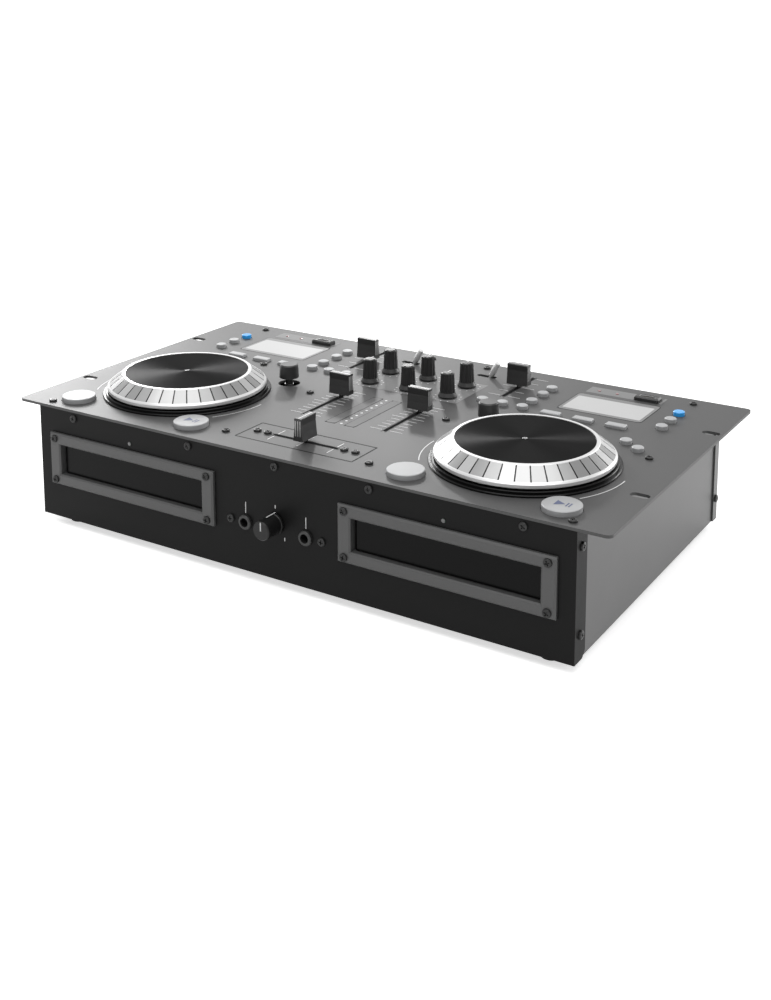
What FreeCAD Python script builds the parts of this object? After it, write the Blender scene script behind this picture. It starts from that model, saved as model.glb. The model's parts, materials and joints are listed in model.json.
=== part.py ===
import FreeCAD, Part
import math
import os

V = FreeCAD.Vector

# ---------------------------------------------------------------- driving dimensions, millimetres
# Top panel: a 19-inch rack plate, six units deep
panel_width = 482.6
panel_depth = 265.9
panel_thickness = 2.0
panel_corner_radius = 4.0
rack_slot_span_x = 465.1
rack_slot_span_y = 133.35
rack_slot_length = 13.0
rack_slot_width = 7.0

# Case under the panel
body_width = 440.0
body_height = 87.0
sheet = 1.2
front_inset = 0.5
rear_inset = 7.4
front_return = 15.2
rear_return = 8.2
return_corner_cut = 4.0
side_lip_width = 10.0
front_lip_width = 5.0
rear_lip_width = 6.0
rail_height = 10.0
foot_height = 6.0
foot_radius = 8.0
foot_taper = 1.0
foot_inset_x = 22.0
foot_inset_y = 16.0

# Fits
key_gap = 0.4
slide_gap = 0.3
running_gap = 0.05
lens_gap = 0.25
lamp_gap = 0.1
screw_shank_radius = 1.4
screw_head_radius = 2.9
screw_head_height = 1.5
screw_length = 7.0
cutter_reach = 5.0

# Circuit boards below the panel
board_drop = 14.0
board_thickness = 1.6
deck_board_inner = 55.0
deck_board_outer = 212.0
mixer_board_half = 54.0
board_front = 14.0
board_rear = 249.0
mixer_board_inset = 4.0
standoff_radius = 3.0
switch_size = 6.0
switch_height = 4.0
plunger_radius = 1.6

# Deck layout, measured from the panel's middle and its front edge
deck_x = 145.2
jog_depth = 82.4
start_key_spread = 55.2
start_key_depth = 21.5
track_key_pitch = 25.6
track_key_depth = 176.4
side_key_x = 199.6
side_key_pitch = 17.5
side_key_depth = 225.4
cue_column_x = 95.4
cue_column_depths = (178.6, 194.8, 214.0, 230.2)
cue_row_pitch = 16.7
mode_key_near = (189.2, 149.6)
mode_key_far = (201.8, 139.6)
browse_x = 88.6
browse_depth = 137.8
display_x = 149.3
display_depth = 214.5
usb_offset = 18.4
usb_depth = 245.6
media_led_offsets = (-21.8, -7.0)
media_led_depth = 247.4
media_led_radius = 1.3

# Jog wheel
jog_base_radius = 64.4
jog_base_flange = 1.6
jog_base_step_radius = 62.4
jog_base_height = 3.4
jog_boss_radius = 14.0
jog_boss_depth = 10.0
jog_axle_radius = 4.0
jog_axle_height = 12.2
jog_radius = 60.8
jog_lift = 0.8
jog_lip_height = 3.6
jog_top = 16.0
jog_rim_radius = 49.2
jog_rim_width = 2.2
jog_wall = 2.0
jog_hub_radius = 9.0
jog_groove_count = 36
jog_groove_width = 0.9
jog_groove_depth = 0.5
jog_plate_thickness = 1.6
jog_plate_gap = 0.3
jog_plate_drop = 0.4
jog_button_radius = 2.4

# Keys
start_key_radius = 12.6
start_key_height = 3.5
start_key_travel = 1.2
start_key_relief = 1.0
round_key_radius = 4.2
round_key_height = 3.0
track_key_length = 15.0
track_key_width = 6.6
track_key_height = 2.3
track_key_corner = 1.0
key_travel = 0.5
key_flange = 0.9
key_flange_thickness = 1.0
key_edge = 0.5

# Display and level meter windows
display_length = 65.6
display_width = 41.6
meter_x = 8.3
meter_width = 8.2
meter_length = 65.2
meter_knob_gap = 29.6
window_thickness = 1.9
window_flange = 2.0
window_flange_thickness = 2.0

# USB sockets
usb_bezel_length = 19.6
usb_bezel_width = 9.4
usb_bezel_height = 3.2
usb_body_length = 15.0
usb_body_width = 8.0
usb_body_depth = 13.0
usb_port_length = 12.5
usb_port_width = 5.1
usb_port_depth = 12.0

# Mixer layout and knobs
mixer_knob_pitch = 35.0
mixer_row_pitch = 30.4
mixer_lever_gap = 32.7
mixer_knob_columns = (("left", -1), ("middle", 0), ("right", 1))
mixer_knob_top = 19.9
mixer_knob_lift = 1.0
mixer_knob_skirt_radius = 7.3
mixer_knob_skirt_height = 2.2
mixer_knob_waist_radius = 5.9
mixer_knob_top_radius = 5.1
mixer_knob_flutes = 12
mixer_knob_flute_depth = 0.55
shaft_radius = 3.0
bushing_radius = 3.5
pot_size = 12.4
pot_height = 7.0
browse_knob_radius = 7.7
browse_knob_top_radius = 7.2
browse_knob_bottom = 4.9
browse_knob_top = 15.7
browse_hole_radius = 8.6
fader_x = 34.9
channel_fader_knob_gap = 25.0
channel_fader_travel = 60.0
channel_fader_rest = 49.2
crossfader_depth = 36.0
crossfader_screws = (32.4, 41.4)
short_fader_travel = 50.0
pitch_x = 70.0
pitch_depth = 223.4
fader_slot_width = 2.4
fader_end_gap = 0.5
stem_length = 4.0
stem_thickness = 1.2
slider_length = 8.0
slider_width = 7.0
slider_height = 5.0
track_width = 12.0
track_wall = 1.5
cap_width = 17.5
cap_bottom = 2.6
cap_top = 18.8
cap_foot_half = 3.9
cap_waist_half = 2.7
cap_head_half = 3.0
cap_edge = 0.5
lever_x = 35.6
lever_depth = 235.5
lever_slot_length = 17.0
lever_slot_width = 5.2
lever_length = 20.8
lever_width = 4.0
lever_thickness = 1.6
lever_pivot_drop = 4.0
lever_pin_radius = 1.0
lever_lean = 28.5
lever_block_length = 21.0
lever_block_width = 9.4

# Front face: tray surrounds, sockets, cue mix knob
bay_x = 130.1
bay_drop = 40.3
bezel_side_margin = 10.2
bezel_edge_margin = 8.4
bezel_thickness = 3.0
bezel_edge = 1.2
bezel_sleeve_wall = 1.5
bezel_sleeve_depth = 7.0
window_width = 136.0
window_height = 23.0
bezel_screw_gap = 4.8
bezel_screw_rise = 4.4
front_socket_x = 25.2
front_socket_drop = 51.2
front_screw_x = 38.0
socket_bore_radius = 3.25
socket_bore_length = 26.0
socket_collar_radius = 5.2
socket_collar_height = 2.4
socket_body_width = 16.0
socket_body_height = 18.0
cue_knob_drop = 46.5
knob_reach = 16.0
cue_knob_radius = 7.5
cue_knob_face_radius = 6.7
cue_knob_gap = 0.8
cue_pot_size = 16.0
cue_pot_depth = 9.0
front_screw_drop = 6.7
front_screw_rows = (-185.2, -75.2, 0.0, 75.2, 185.2)
disc_led_drop = 15.6
disc_led_radius = 1.5
side_screw_drops = (14.0, 70.0)
side_screw_depths = (8.0, 129.5)
rear_screw_places = (200.4, 25.7)

# Disc loader
door_gap = 0.7
door_inset = 4.5
door_thickness = 4.0
door_corner = 2.0
tray_side_inset = 3.5
tray_length = 165.0
tray_thickness = 6.2
tray_top_drop = 38.8
tray_travel = 137.0
tray_rib_inset = 8.0
tray_rib_half = 1.5
tray_rib_length = 20.0
disc_depth = 72.0
disc_seat_radius = 60.8
disc_seat_depth = 2.2
small_disc_radius = 40.6
small_disc_depth = 1.0
pickup_slot_width = 36.0
pickup_slot_rear = 150.0
pickup_slot_reach = 19.0
loader_front = 12.0
loader_rear = 190.0
loader_wall = 3.0
loader_floor_drop = 77.0
loader_floor_thickness = 2.0
loader_wall_top_drop = 35.0
runner_reach = 4.0
runner_thickness = 2.0
runner_seat = 0.5
runner_rear_gap = 4.0
guide_rear_gap = 30.0
cross_bar_thickness = 3.0
cross_bar_drop = 12.0
loader_leg_size = 8.0
loader_leg_inset = 12.0
bridge_width = 22.0
bridge_thickness = 1.8
clamp_radius = 14.0
clamp_thickness = 1.4
deck_plate_half = 34.0
deck_plate_drop = 57.0
deck_plate_thickness = 1.5
deck_plate_front_reach = 20.0
deck_plate_rear_reach = 66.0
motor_radius = 12.0
motor_height = 7.0
motor_floor = 1.5
deck_post_radius = 3.0
deck_post_inset = 5.0
spindle_shaft_radius = 1.5
spindle_flange_radius = 14.5
spindle_flange_thickness = 1.6
spindle_flange_drop = 50.2
spindle_cone_radius = 7.3
spindle_top_drop = 45.6
pickup_rod_radius = 1.5
pickup_rod_spread = 13.0
pickup_size = (30.0, 22.0, 5.0)
pickup_depth = 108.0
pickup_lens_radius = 2.4
pickup_lens_height = 1.2
rod_front_gap = 20.0
rod_rear_gap = 4.0
rod_deck_gap = 0.6
rod_stand_half = 2.5
rod_stand_length = 3.0

# Rear face
rca_pitch = 14.0
rca_first_x = 101.0
rca_group_pitch = 42.0
rca_drops = (38.0, 56.0)
rca_radius = 4.15
rca_reach = 7.0
rca_bore_radius = 1.6
rca_flange_radius = 5.6
rca_block_depth = 10.0
inlet_x = 176.0
inlet_drop = 46.0
inlet_flange = (30.0, 24.0)
inlet_mouth = (24.4, 16.8)
inlet_well = 20.0
inlet_wall = 1.4
inlet_pin = (2.0, 4.0)
inlet_pin_tip = 6.0
inlet_pin_spread = 7.0
inlet_pin_rise = 2.0
rocker_x = 134.0
rocker_housing = (21.0, 15.0)
rocker_flange = (24.0, 18.0)
rocker_size = (16.4, 11.0)
rocker_end_gap = 1.2
rocker_depth = 12.0
rocker_tilt = 8.0
rocker_pin_radius = 1.5
rocker_pin_drop = 0.5
rocker_crest_rise = 0.2
rocker_cheek_drop = 3.2
rocker_foot_half = 3.0
rocker_foot_drop = 3.4
rocker_well_floor = 1.5
rear_flange_thickness = 2.0

# Power supply board, between the loaders
supply_size = (96.0, 56.0)
supply_depth = 205.0
supply_rise = 8.0
supply_post_half = 3.0
supply_post_inset = 5.0
transformer_size = (44.0, 36.0, 32.0)
transformer_inset = 8.0
capacitor_x = 18.0
capacitor_radius = 6.0
capacitor_height = 24.0
heat_sink_x = 34.0
heat_sink_size = (3.0, 30.0, 22.0)

# ---------------------------------------------------------------- derived places
panel_top = foot_height + body_height
front_y = (knob_reach - panel_depth) / 2.0
body_half = body_width / 2.0
pan_half = body_half - sheet
face_depth = front_inset
rear_face_depth = panel_depth - rear_inset
pan_front = face_depth + sheet
pan_rear = rear_face_depth - sheet
board_top = -board_drop
under_panel = -panel_thickness
jog_skirt_bottom = jog_base_height + jog_lift

mixer_back_row = lever_depth - mixer_lever_gap
mixer_front_row = mixer_back_row - mixer_row_pitch
mixer_knob_rows = (("front", mixer_front_row), ("back", mixer_back_row))
meter_depth = mixer_front_row - meter_knob_gap - meter_length / 2.0
channel_fader_slot = channel_fader_travel + stem_length + 2 * fader_end_gap
channel_fader_depth = mixer_front_row - channel_fader_knob_gap - channel_fader_slot / 2.0
channel_fader_rest_depth = channel_fader_depth - channel_fader_slot / 2.0 + channel_fader_rest
short_fader_slot = short_fader_travel + stem_length + 2 * fader_end_gap

bezel_width = window_width + 2 * bezel_side_margin
bezel_height = window_height + 2 * bezel_edge_margin
bezel_screw_x = window_width / 2.0 + bezel_screw_gap
bezel_screw_z = window_height / 2.0 + bezel_screw_rise
tray_width = window_width - 2 * tray_side_inset
door_front = face_depth - bezel_thickness + door_inset
door_back = door_front + door_thickness
tray_bottom_drop = tray_top_drop + tray_thickness

rca_groups = [-rca_first_x - n * rca_group_pitch for n in (1, 0)]
rca_columns = [group + sign * rca_pitch / 2.0 for group in rca_groups for sign in (-1, 1)]
sides = (("a", -1), ("b", 1))


# ---------------------------------------------------------------- small helpers
def box(x0, x1, y0, y1, z0, z1):
    return Part.makeBox(x1 - x0, y1 - y0, z1 - z0, V(x0, y0, z0))


def centred_box(length, width, z0, z1, x=0.0, y=0.0):
    return box(x - length / 2.0, x + length / 2.0, y - width / 2.0, y + width / 2.0, z0, z1)


def rod(radius, z0, z1, x=0.0, y=0.0):
    return Part.makeCylinder(radius, z1 - z0, V(x, y, z0))


def through(radius):
    """The cutter for a round hole in a sheet."""
    return rod(radius, -cutter_reach, cutter_reach)


def rounded_slab(length, width, radius, z0, z1):
    """A plate centred on the Z axis with its four upright edges rounded."""
    slab = centred_box(length, width, z0, z1)
    upright = [e for e in slab.Edges if abs(e.Vertexes[0].Z - e.Vertexes[1].Z) > 1e-6]
    return slab.makeFillet(radius, upright)


def slot_slab(length, width, z0, z1):
    """A round-ended slot along X, centred on the Z axis."""
    half = (length - width) / 2.0
    middle = centred_box(2 * half, width, z0, z1)
    return middle.fuse([rod(width / 2.0, z0, z1, -half), rod(width / 2.0, z0, z1, half)]).removeSplitter()


def turned(points):
    """A solid of revolution about Z from its (radius, height) outline."""
    outline = [V(r, 0, z) for r, z in points]
    face = Part.Face(Part.makePolygon(outline + [outline[0]]))
    return face.revolve(V(0, 0, 0), V(0, 0, 1), 360)


def extruded(points, direction):
    """A prism from the closed outline of points along direction."""
    corners = [V(*p) for p in points]
    return Part.Face(Part.makePolygon(corners + [corners[0]])).extrude(direction)


def shift(shape, x, y, z):
    moved = shape.copy()
    moved.translate(V(x, y, z))
    return moved


def turn(shape, angle, axis=V(0, 0, 1), centre=V(0, 0, 0)):
    moved = shape.copy()
    moved.rotate(centre, axis, angle)
    return moved


def on_panel(shape, x, depth):
    """Set a shape made about the panel's top face at x and depth from the front edge."""
    return shift(shape, x, front_y + depth, panel_top)


def on_front(shape, x, drop):
    """Set a shape made about +Z outwards onto the front face, drop below the panel's top."""
    return shift(turn(shape, 90, V(1, 0, 0)), x, front_y + face_depth, panel_top - drop)


def on_rear(shape, x, drop):
    """Set a shape made about +Z outwards onto the rear face; its +X stays +X."""
    return shift(turn(shape, -90, V(1, 0, 0)), x, front_y + rear_face_depth, panel_top - drop)


def in_case(x0, x1, depth0, depth1, drop0, drop1):
    """A box given by depths from the front edge and drops below the panel's top."""
    return box(x0, x1, front_y + depth0, front_y + depth1, panel_top - drop1, panel_top - drop0)


def screw(length=screw_length):
    head = turned([(0, 0), (screw_head_radius, 0), (screw_head_radius * 0.7, screw_head_height),
                   (0, screw_head_height)])
    return head.fuse(rod(screw_shank_radius, -length, 0)).removeSplitter()


def save(node, solids):
    shape = solids[0] if len(solids) == 1 else Part.makeCompound(solids)
    shape.exportStep("parts/" + node + ".step")


# ---------------------------------------------------------------- places shared by holes and pieces
def round_key_places(side):
    column = [(side * cue_column_x, depth) for depth in cue_column_depths]
    row = [(side * (cue_column_x - cue_row_pitch * n), cue_column_depths[0]) for n in (1, 2)]
    edge = [(side * side_key_x, side_key_depth - side_key_pitch * n) for n in (1, 2)]
    mode = [(side * x, depth) for x, depth in (mode_key_near, mode_key_far)]
    return column + row + edge + mode


def eject_key_place(side):
    return side * side_key_x, side_key_depth


def track_key_places(side):
    return [(side * deck_x + n * track_key_pitch, track_key_depth) for n in (-1, 0, 1)]


def mirrored(places):
    return [(sign * x, depth) for sign in (-1, 1) for x, depth in places]


def panel_screw_places():
    return mirrored(lip_screws + deck_standoffs + mixer_standoffs + fader_screws)


def start_key_places(side):
    return [(side * deck_x + n * start_key_spread, start_key_depth) for n in (-1, 1)]


def mixer_knob_places():
    """Node name, x and depth of each knob."""
    return [("mixer_knob_%s_%s" % (row, column), place * mixer_knob_pitch, depth)
            for row, depth in mixer_knob_rows for column, place in mixer_knob_columns]


def fader_places():
    """Node name, x, slot centre depth, rest depth or x, travel, along X or not."""
    places = [("channel_fader_" + name, side * fader_x, channel_fader_depth, channel_fader_travel, False)
              for name, side in sides]
    places += [("pitch_fader_" + name, side * pitch_x, pitch_depth, short_fader_travel, False)
               for name, side in sides]
    return places + [("crossfader", 0.0, crossfader_depth, short_fader_travel, True)]


side_lip_x = pan_half - side_lip_width / 2.0
rear_lip_depth = pan_rear - rear_lip_width / 2.0
lip_screws = [(side_lip_x, depth) for depth in side_screw_depths]
lip_screws += [(x, rear_lip_depth) for x in rear_screw_places]
deck_standoffs = [(60.2, 23.8), (60.2, 126.4), (136.2, 167.4)]
fader_screws = [(crossfader_screws[0], crossfader_depth)]
mixer_standoffs = [(crossfader_screws[1], crossfader_depth)]


# ---------------------------------------------------------------- keys
def key_flange_top():
    return under_panel - slide_gap


def plunger(travel):
    well_bottom = board_top + 0.6
    return rod(plunger_radius, well_bottom + travel + slide_gap, key_flange_top() - key_flange_thickness)


def round_key(radius, height, travel):
    top, flange_top = height, key_flange_top()
    flange_bottom = flange_top - key_flange_thickness
    flange_radius = radius + key_flange
    body = turned([(0, flange_bottom), (flange_radius, flange_bottom), (flange_radius, flange_top),
                   (radius, flange_top), (radius, top - key_edge),
                   (radius - key_edge, top - key_edge * 0.25), (0, top)])
    return body.fuse(plunger(travel)).removeSplitter()


def track_key():
    flange_top = key_flange_top()
    cap = rounded_slab(track_key_length, track_key_width, track_key_corner, flange_top, track_key_height)
    cap = cap.makeChamfer(key_edge, [e for e in cap.Edges
                                     if all(abs(v.Z - track_key_height) < 1e-6 for v in e.Vertexes)])
    flange = rounded_slab(track_key_length + 2 * key_flange, track_key_width + 2 * key_flange, 1.4,
                          flange_top - key_flange_thickness, flange_top)
    return cap.fuse([flange, plunger(key_travel)]).removeSplitter()


def key_switch():
    """A tact switch on the board, with the well that its plunger runs in."""
    body = centred_box(switch_size, switch_size, board_top, board_top + switch_height)
    return body.cut(rod(plunger_radius + running_gap * 2, board_top + 0.6, board_top + switch_height + 1))


# ---------------------------------------------------------------- top panel
def make_top_panel():
    low, high = under_panel - 1, 1.0
    holes = []
    for x in (-rack_slot_span_x / 2.0, rack_slot_span_x / 2.0):
        for y in (-rack_slot_span_y / 2.0, rack_slot_span_y / 2.0):
            cut = shift(slot_slab(rack_slot_length, rack_slot_width, low, high), x, y, 0)
            holes.append(on_panel(cut, 0, panel_depth / 2.0))
    for name, side in sides:
        holes.append(on_panel(rod(jog_boss_radius + slide_gap, low, high), side * deck_x, jog_depth))
        for x, depth in start_key_places(side):
            holes.append(on_panel(rod(start_key_radius + key_gap, low, high), x, depth))
        for x, depth in round_key_places(side) + [eject_key_place(side)]:
            holes.append(on_panel(rod(round_key_radius + key_gap, low, high), x, depth))
        for x, depth in track_key_places(side):
            cut = rounded_slab(track_key_length + 2 * key_gap, track_key_width + 2 * key_gap,
                               track_key_corner + key_gap / 2.0, low, high)
            holes.append(on_panel(cut, x, depth))
        holes.append(on_panel(rounded_slab(display_length + 2 * lens_gap, display_width + 2 * lens_gap,
                                           2.0, low, high), side * display_x, display_depth))
        holes.append(on_panel(centred_box(meter_width + 2 * lens_gap, meter_length + 2 * lens_gap,
                                          low, high), side * meter_x, meter_depth))
        strip_x = side * display_x
        holes.append(on_panel(centred_box(usb_body_length + 2 * slide_gap, usb_body_width + 2 * slide_gap,
                                          low, high), strip_x + usb_offset, usb_depth))
        for offset in media_led_offsets:
            lamp = rod(media_led_radius + lamp_gap, low, high)
            holes.append(on_panel(lamp, strip_x + offset, media_led_depth))
        holes.append(on_panel(rod(browse_hole_radius, low, high), side * browse_x, browse_depth))
        holes.append(on_panel(slot_slab(lever_slot_length, lever_slot_width, low, high),
                              side * lever_x, lever_depth))
    for node, x, depth in mixer_knob_places():
        holes.append(on_panel(rod(bushing_radius + slide_gap, low, high), x, depth))
    for node, x, depth, travel, across in fader_places():
        cut = slot_slab(travel + stem_length + 2 * fader_end_gap, fader_slot_width, low, high)
        holes.append(on_panel(cut if across else turn(cut, 90), x, depth))
    for x, depth in panel_screw_places():
        holes.append(on_panel(rod(screw_shank_radius, low, high), x, depth))
    plate = on_panel(rounded_slab(panel_width, panel_depth, panel_corner_radius, under_panel, 0),
                     0, panel_depth / 2.0)
    save("top_panel", [plate.cut(holes)])


# ---------------------------------------------------------------- case sheets
def bay_opening(grow):
    width = window_width + 2 * bezel_sleeve_wall + 2 * grow
    height = window_height + 2 * bezel_sleeve_wall + 2 * grow
    return width, height


def make_front_panel():
    outer = in_case(-body_half, body_half, face_depth, face_depth + front_return,
                    panel_thickness, body_height)
    inner = in_case(-pan_half, pan_half, pan_front, face_depth + front_return + 1,
                    panel_thickness - 1, body_height + 1)
    shell = outer.cut(inner)
    back, low = front_y + face_depth + front_return, panel_top - body_height
    corner = extruded([(-body_half - 1, back - return_corner_cut, low), (-body_half - 1, back + 1, low - 1),
                       (-body_half - 1, back, low + return_corner_cut)], V(body_width + 2, 0, 0))
    width, height = bay_opening(lens_gap)
    cuts = [corner]
    for name, side in sides:
        bay = centred_box(width, height, -cutter_reach, cutter_reach)
        cuts.append(on_front(bay, side * bay_x, bay_drop))
        cuts.append(on_front(through(disc_led_radius + lamp_gap), side * bay_x, disc_led_drop))
        cuts.append(on_front(through(socket_collar_radius - 1.2),
                             side * front_socket_x, front_socket_drop))
        cuts.append(on_front(through(screw_shank_radius), side * front_screw_x, front_socket_drop))
        for x in (-bezel_screw_x, bezel_screw_x):
            for z in (-bezel_screw_z, bezel_screw_z):
                cuts.append(on_front(through(screw_shank_radius), side * bay_x + x, bay_drop + z))
    cuts.append(on_front(through(bushing_radius + slide_gap), 0, cue_knob_drop))
    for x in front_screw_rows:
        cuts.append(on_front(through(screw_shank_radius), x, front_screw_drop))
    cuts += side_screw_holes()
    save("front_panel", [shell.cut(cuts)])


def side_screw_places():
    """Screws through the front and rear returns into the pan's sides: side, depth, drop."""
    return [(side, depth, drop) for name, side in sides
            for depth in (face_depth + front_return / 2.0, rear_face_depth - rear_return / 2.0)
            for drop in side_screw_drops]


def side_screw_holes():
    holes = []
    for side, depth, drop in side_screw_places():
        hole = turn(rod(screw_shank_radius, -screw_length, 2), 90 * side, V(0, 1, 0))
        holes.append(shift(hole, side * body_half, front_y + depth, panel_top - drop))
    return holes


def make_rear_panel():
    shell = in_case(-body_half, body_half, rear_face_depth - rear_return, rear_face_depth,
                    panel_thickness, body_height)
    shell = shell.cut(in_case(-pan_half, pan_half, rear_face_depth - rear_return - 1, pan_rear,
                              panel_thickness - 1, body_height + 1))
    cuts = [on_rear(through(rca_flange_radius - 1), x, drop) for x in rca_columns for drop in rca_drops]
    cuts.append(on_rear(centred_box(inlet_mouth[0] + 2 * inlet_wall + slide_gap,
                                    inlet_mouth[1] + 2 * inlet_wall + slide_gap,
                                    -cutter_reach, cutter_reach),
                        inlet_x, inlet_drop))
    cuts.append(on_rear(centred_box(rocker_housing[0] + slide_gap, rocker_housing[1] + slide_gap,
                                    -cutter_reach, cutter_reach),
                        rocker_x, inlet_drop))
    cuts += side_screw_holes()
    save("rear_panel", [shell.cut(cuts)])


def make_chassis_pan():
    outer = in_case(-pan_half, pan_half, pan_front, pan_rear, panel_thickness, body_height)
    inner = in_case(-pan_half + sheet, pan_half - sheet, pan_front - 1, pan_rear + 1,
                    panel_thickness - 1, body_height - sheet)
    pan = outer.cut(inner)
    top, low = panel_thickness, panel_thickness + sheet
    ring = in_case(-pan_half, pan_half, pan_front, pan_rear, top, low)
    ring = ring.cut(in_case(-pan_half + side_lip_width, pan_half - side_lip_width,
                            pan_front + front_lip_width, pan_rear - rear_lip_width, top - 1, low + 1))
    rails = [in_case(-pan_half, pan_half, pan_front, pan_front + sheet, top, top + rail_height),
             in_case(-pan_half, pan_half, pan_rear - sheet, pan_rear, top, top + rail_height)]
    pan = pan.fuse([ring] + rails).removeSplitter()
    cuts = side_screw_holes()
    for name, side in sides:
        cuts.append(in_case(side * pitch_x - track_width / 2.0 - 1, side * pitch_x + track_width / 2.0 + 1,
                            pan_rear - rear_lip_width - 1, pan_rear - sheet - 0.2, top - 0.01, low + 0.01))
        x = side * bay_x
        cuts.append(on_front(rod(disc_led_radius + 0.5, -8, 5), x, disc_led_drop))
        relief = rod(start_key_radius + key_flange + start_key_relief, -low - 0.1, -top + 0.1)
        for place_x, depth in start_key_places(side):
            cuts.append(on_panel(relief, place_x, depth))
    for x in front_screw_rows:
        cuts.append(on_front(through(screw_shank_radius), x, front_screw_drop))
    for x, depth in mirrored(lip_screws):
        cuts.append(on_panel(through(screw_shank_radius), x, depth))
    for x, depth in foot_places():
        cuts.append(shift(through(screw_shank_radius), x, front_y + depth, foot_height))
    save("chassis_pan", [pan.cut(cuts)])


def foot_places():
    return [(sign * (body_half - foot_inset_x), depth) for sign in (-1, 1)
            for depth in (foot_inset_y, rear_face_depth - foot_inset_y)]


def make_feet():
    foot = turned([(0, 0), (foot_radius - foot_taper, 0), (foot_radius, foot_height), (0, foot_height)])
    foot = foot.cut(rod(screw_head_radius + 0.6, -1, foot_height / 2.0))
    foot = foot.cut(rod(screw_shank_radius, -1, foot_height + 1))
    save("rubber_feet", [shift(foot, x, front_y + depth, 0) for x, depth in foot_places()])


# ---------------------------------------------------------------- screws
def make_screws():
    solids = [on_panel(screw(), x, depth) for x, depth in panel_screw_places()]
    solids += [on_front(screw(), x, front_screw_drop) for x in front_screw_rows]
    for name, side in sides:
        solids.append(on_front(screw(), side * front_screw_x, front_socket_drop))
        for x in (-bezel_screw_x, bezel_screw_x):
            for z in (-bezel_screw_z, bezel_screw_z):
                solids.append(shift(on_front(screw(screw_length + bezel_thickness), side * bay_x + x,
                                             bay_drop + z), 0, -bezel_thickness, 0))
    for side, depth, drop in side_screw_places():
        solids.append(shift(turn(screw(), 90 * side, V(0, 1, 0)), side * body_half,
                            front_y + depth, panel_top - drop))
    for x, depth in foot_places():
        head_seat = foot_height / 2.0
        solids.append(shift(turn(screw(), 180, V(1, 0, 0)), x, front_y + depth, head_seat))
    save("case_screws", solids)


# ---------------------------------------------------------------- jog wheels
def make_jog_base():
    ring = turned([(0, under_panel), (jog_boss_radius, under_panel), (jog_boss_radius, 0),
                   (jog_base_radius, 0), (jog_base_radius, jog_base_flange - 0.5),
                   (jog_base_radius - 0.5, jog_base_flange), (jog_base_step_radius, jog_base_flange),
                   (jog_base_step_radius, jog_base_height - 0.4),
                   (jog_base_step_radius - 0.4, jog_base_height),
                   (0, jog_base_height)])
    boss = rod(jog_boss_radius, -jog_boss_depth, under_panel)
    axle = turned([(0, jog_base_height), (jog_axle_radius + 3, jog_base_height),
                   (jog_axle_radius + 3, jog_skirt_bottom + 0.7), (jog_axle_radius, jog_skirt_bottom + 0.7),
                   (jog_axle_radius, jog_axle_height), (0, jog_axle_height)])
    return ring.fuse([boss, axle]).removeSplitter()


def make_jog_wheel():
    lip_top = jog_skirt_bottom + jog_lip_height
    rim_inner = jog_rim_radius - jog_rim_width
    floor = jog_top - jog_plate_drop - jog_plate_thickness
    web = floor - jog_wall
    hub_bottom = jog_skirt_bottom + 1.0
    bore = jog_axle_radius + running_gap
    wheel = turned([
        (bore, hub_bottom), (jog_hub_radius, hub_bottom), (jog_hub_radius, web),
        (jog_rim_radius - jog_wall, web), (jog_radius - jog_wall - 1.2, lip_top),
        (jog_radius - jog_wall, jog_skirt_bottom), (jog_radius - 0.5, jog_skirt_bottom),
        (jog_radius, jog_skirt_bottom + 0.6), (jog_radius, lip_top - 1.0), (jog_radius - 0.9, lip_top),
        (jog_rim_radius + 0.5, jog_top - 0.5), (jog_rim_radius, jog_top), (rim_inner, jog_top),
        (rim_inner, floor), (bore, floor)])
    run = V(jog_rim_radius + 0.9 - (jog_radius - 1.6), 0, (jog_top - 0.9) - (lip_top + 0.5))
    length = run.Length
    tilt = math.degrees(math.atan2(run.z, -run.x))
    groove = box(-length, 0, -jog_groove_width / 2.0, jog_groove_width / 2.0, -jog_groove_depth, 2.0)
    groove = turn(groove, tilt, V(0, 1, 0))
    groove = shift(groove, jog_radius - 1.6, 0, lip_top + 0.5)
    step = 360.0 / jog_groove_count
    return wheel.cut([turn(groove, step * n) for n in range(jog_groove_count)])


def make_jog_plate():
    radius = jog_rim_radius - jog_rim_width - jog_plate_gap
    top = jog_top - jog_plate_drop
    return turned([(0, top - jog_plate_thickness), (radius, top - jog_plate_thickness), (radius, top),
                   (jog_button_radius, top), (jog_button_radius * 0.6, top + 0.35), (0, top + 0.35)])


def make_jogs():
    base, wheel, plate = make_jog_base(), make_jog_wheel(), make_jog_plate()
    for name, side in sides:
        save("jog_base_" + name, [on_panel(base, side * deck_x, jog_depth)])
        save("jog_wheel_" + name, [on_panel(wheel, side * deck_x, jog_depth)])
        save("jog_plate_" + name, [on_panel(plate, side * deck_x, jog_depth)])


# ---------------------------------------------------------------- keys on the decks
def make_keys():
    start = round_key(start_key_radius, start_key_height, start_key_travel)
    small = round_key(round_key_radius, round_key_height, key_travel)
    track = track_key()
    for name, side in sides:
        cue, play = start_key_places(side)
        save("cue_button_" + name, [on_panel(start, *cue)])
        save("play_button_" + name, [on_panel(start, *play)])
        save("eject_button_" + name, [on_panel(small, *eject_key_place(side))])
        save("small_keys_" + name, [on_panel(small, *place) for place in round_key_places(side)])
        for number, place in enumerate(track_key_places(side), 1):
            save("track_key_%s_%d" % (name, number), [on_panel(track, *place)])


# ---------------------------------------------------------------- windows
def window(length, width, corner):
    lens = rounded_slab(length, width, corner, -window_thickness, 0)
    flange = rounded_slab(length + 2 * window_flange, width + 2 * window_flange, corner,
                          under_panel - window_flange_thickness, under_panel)
    neck = rounded_slab(length, width, corner, under_panel, -window_thickness)
    return lens.fuse([neck, flange]).removeSplitter()


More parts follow.
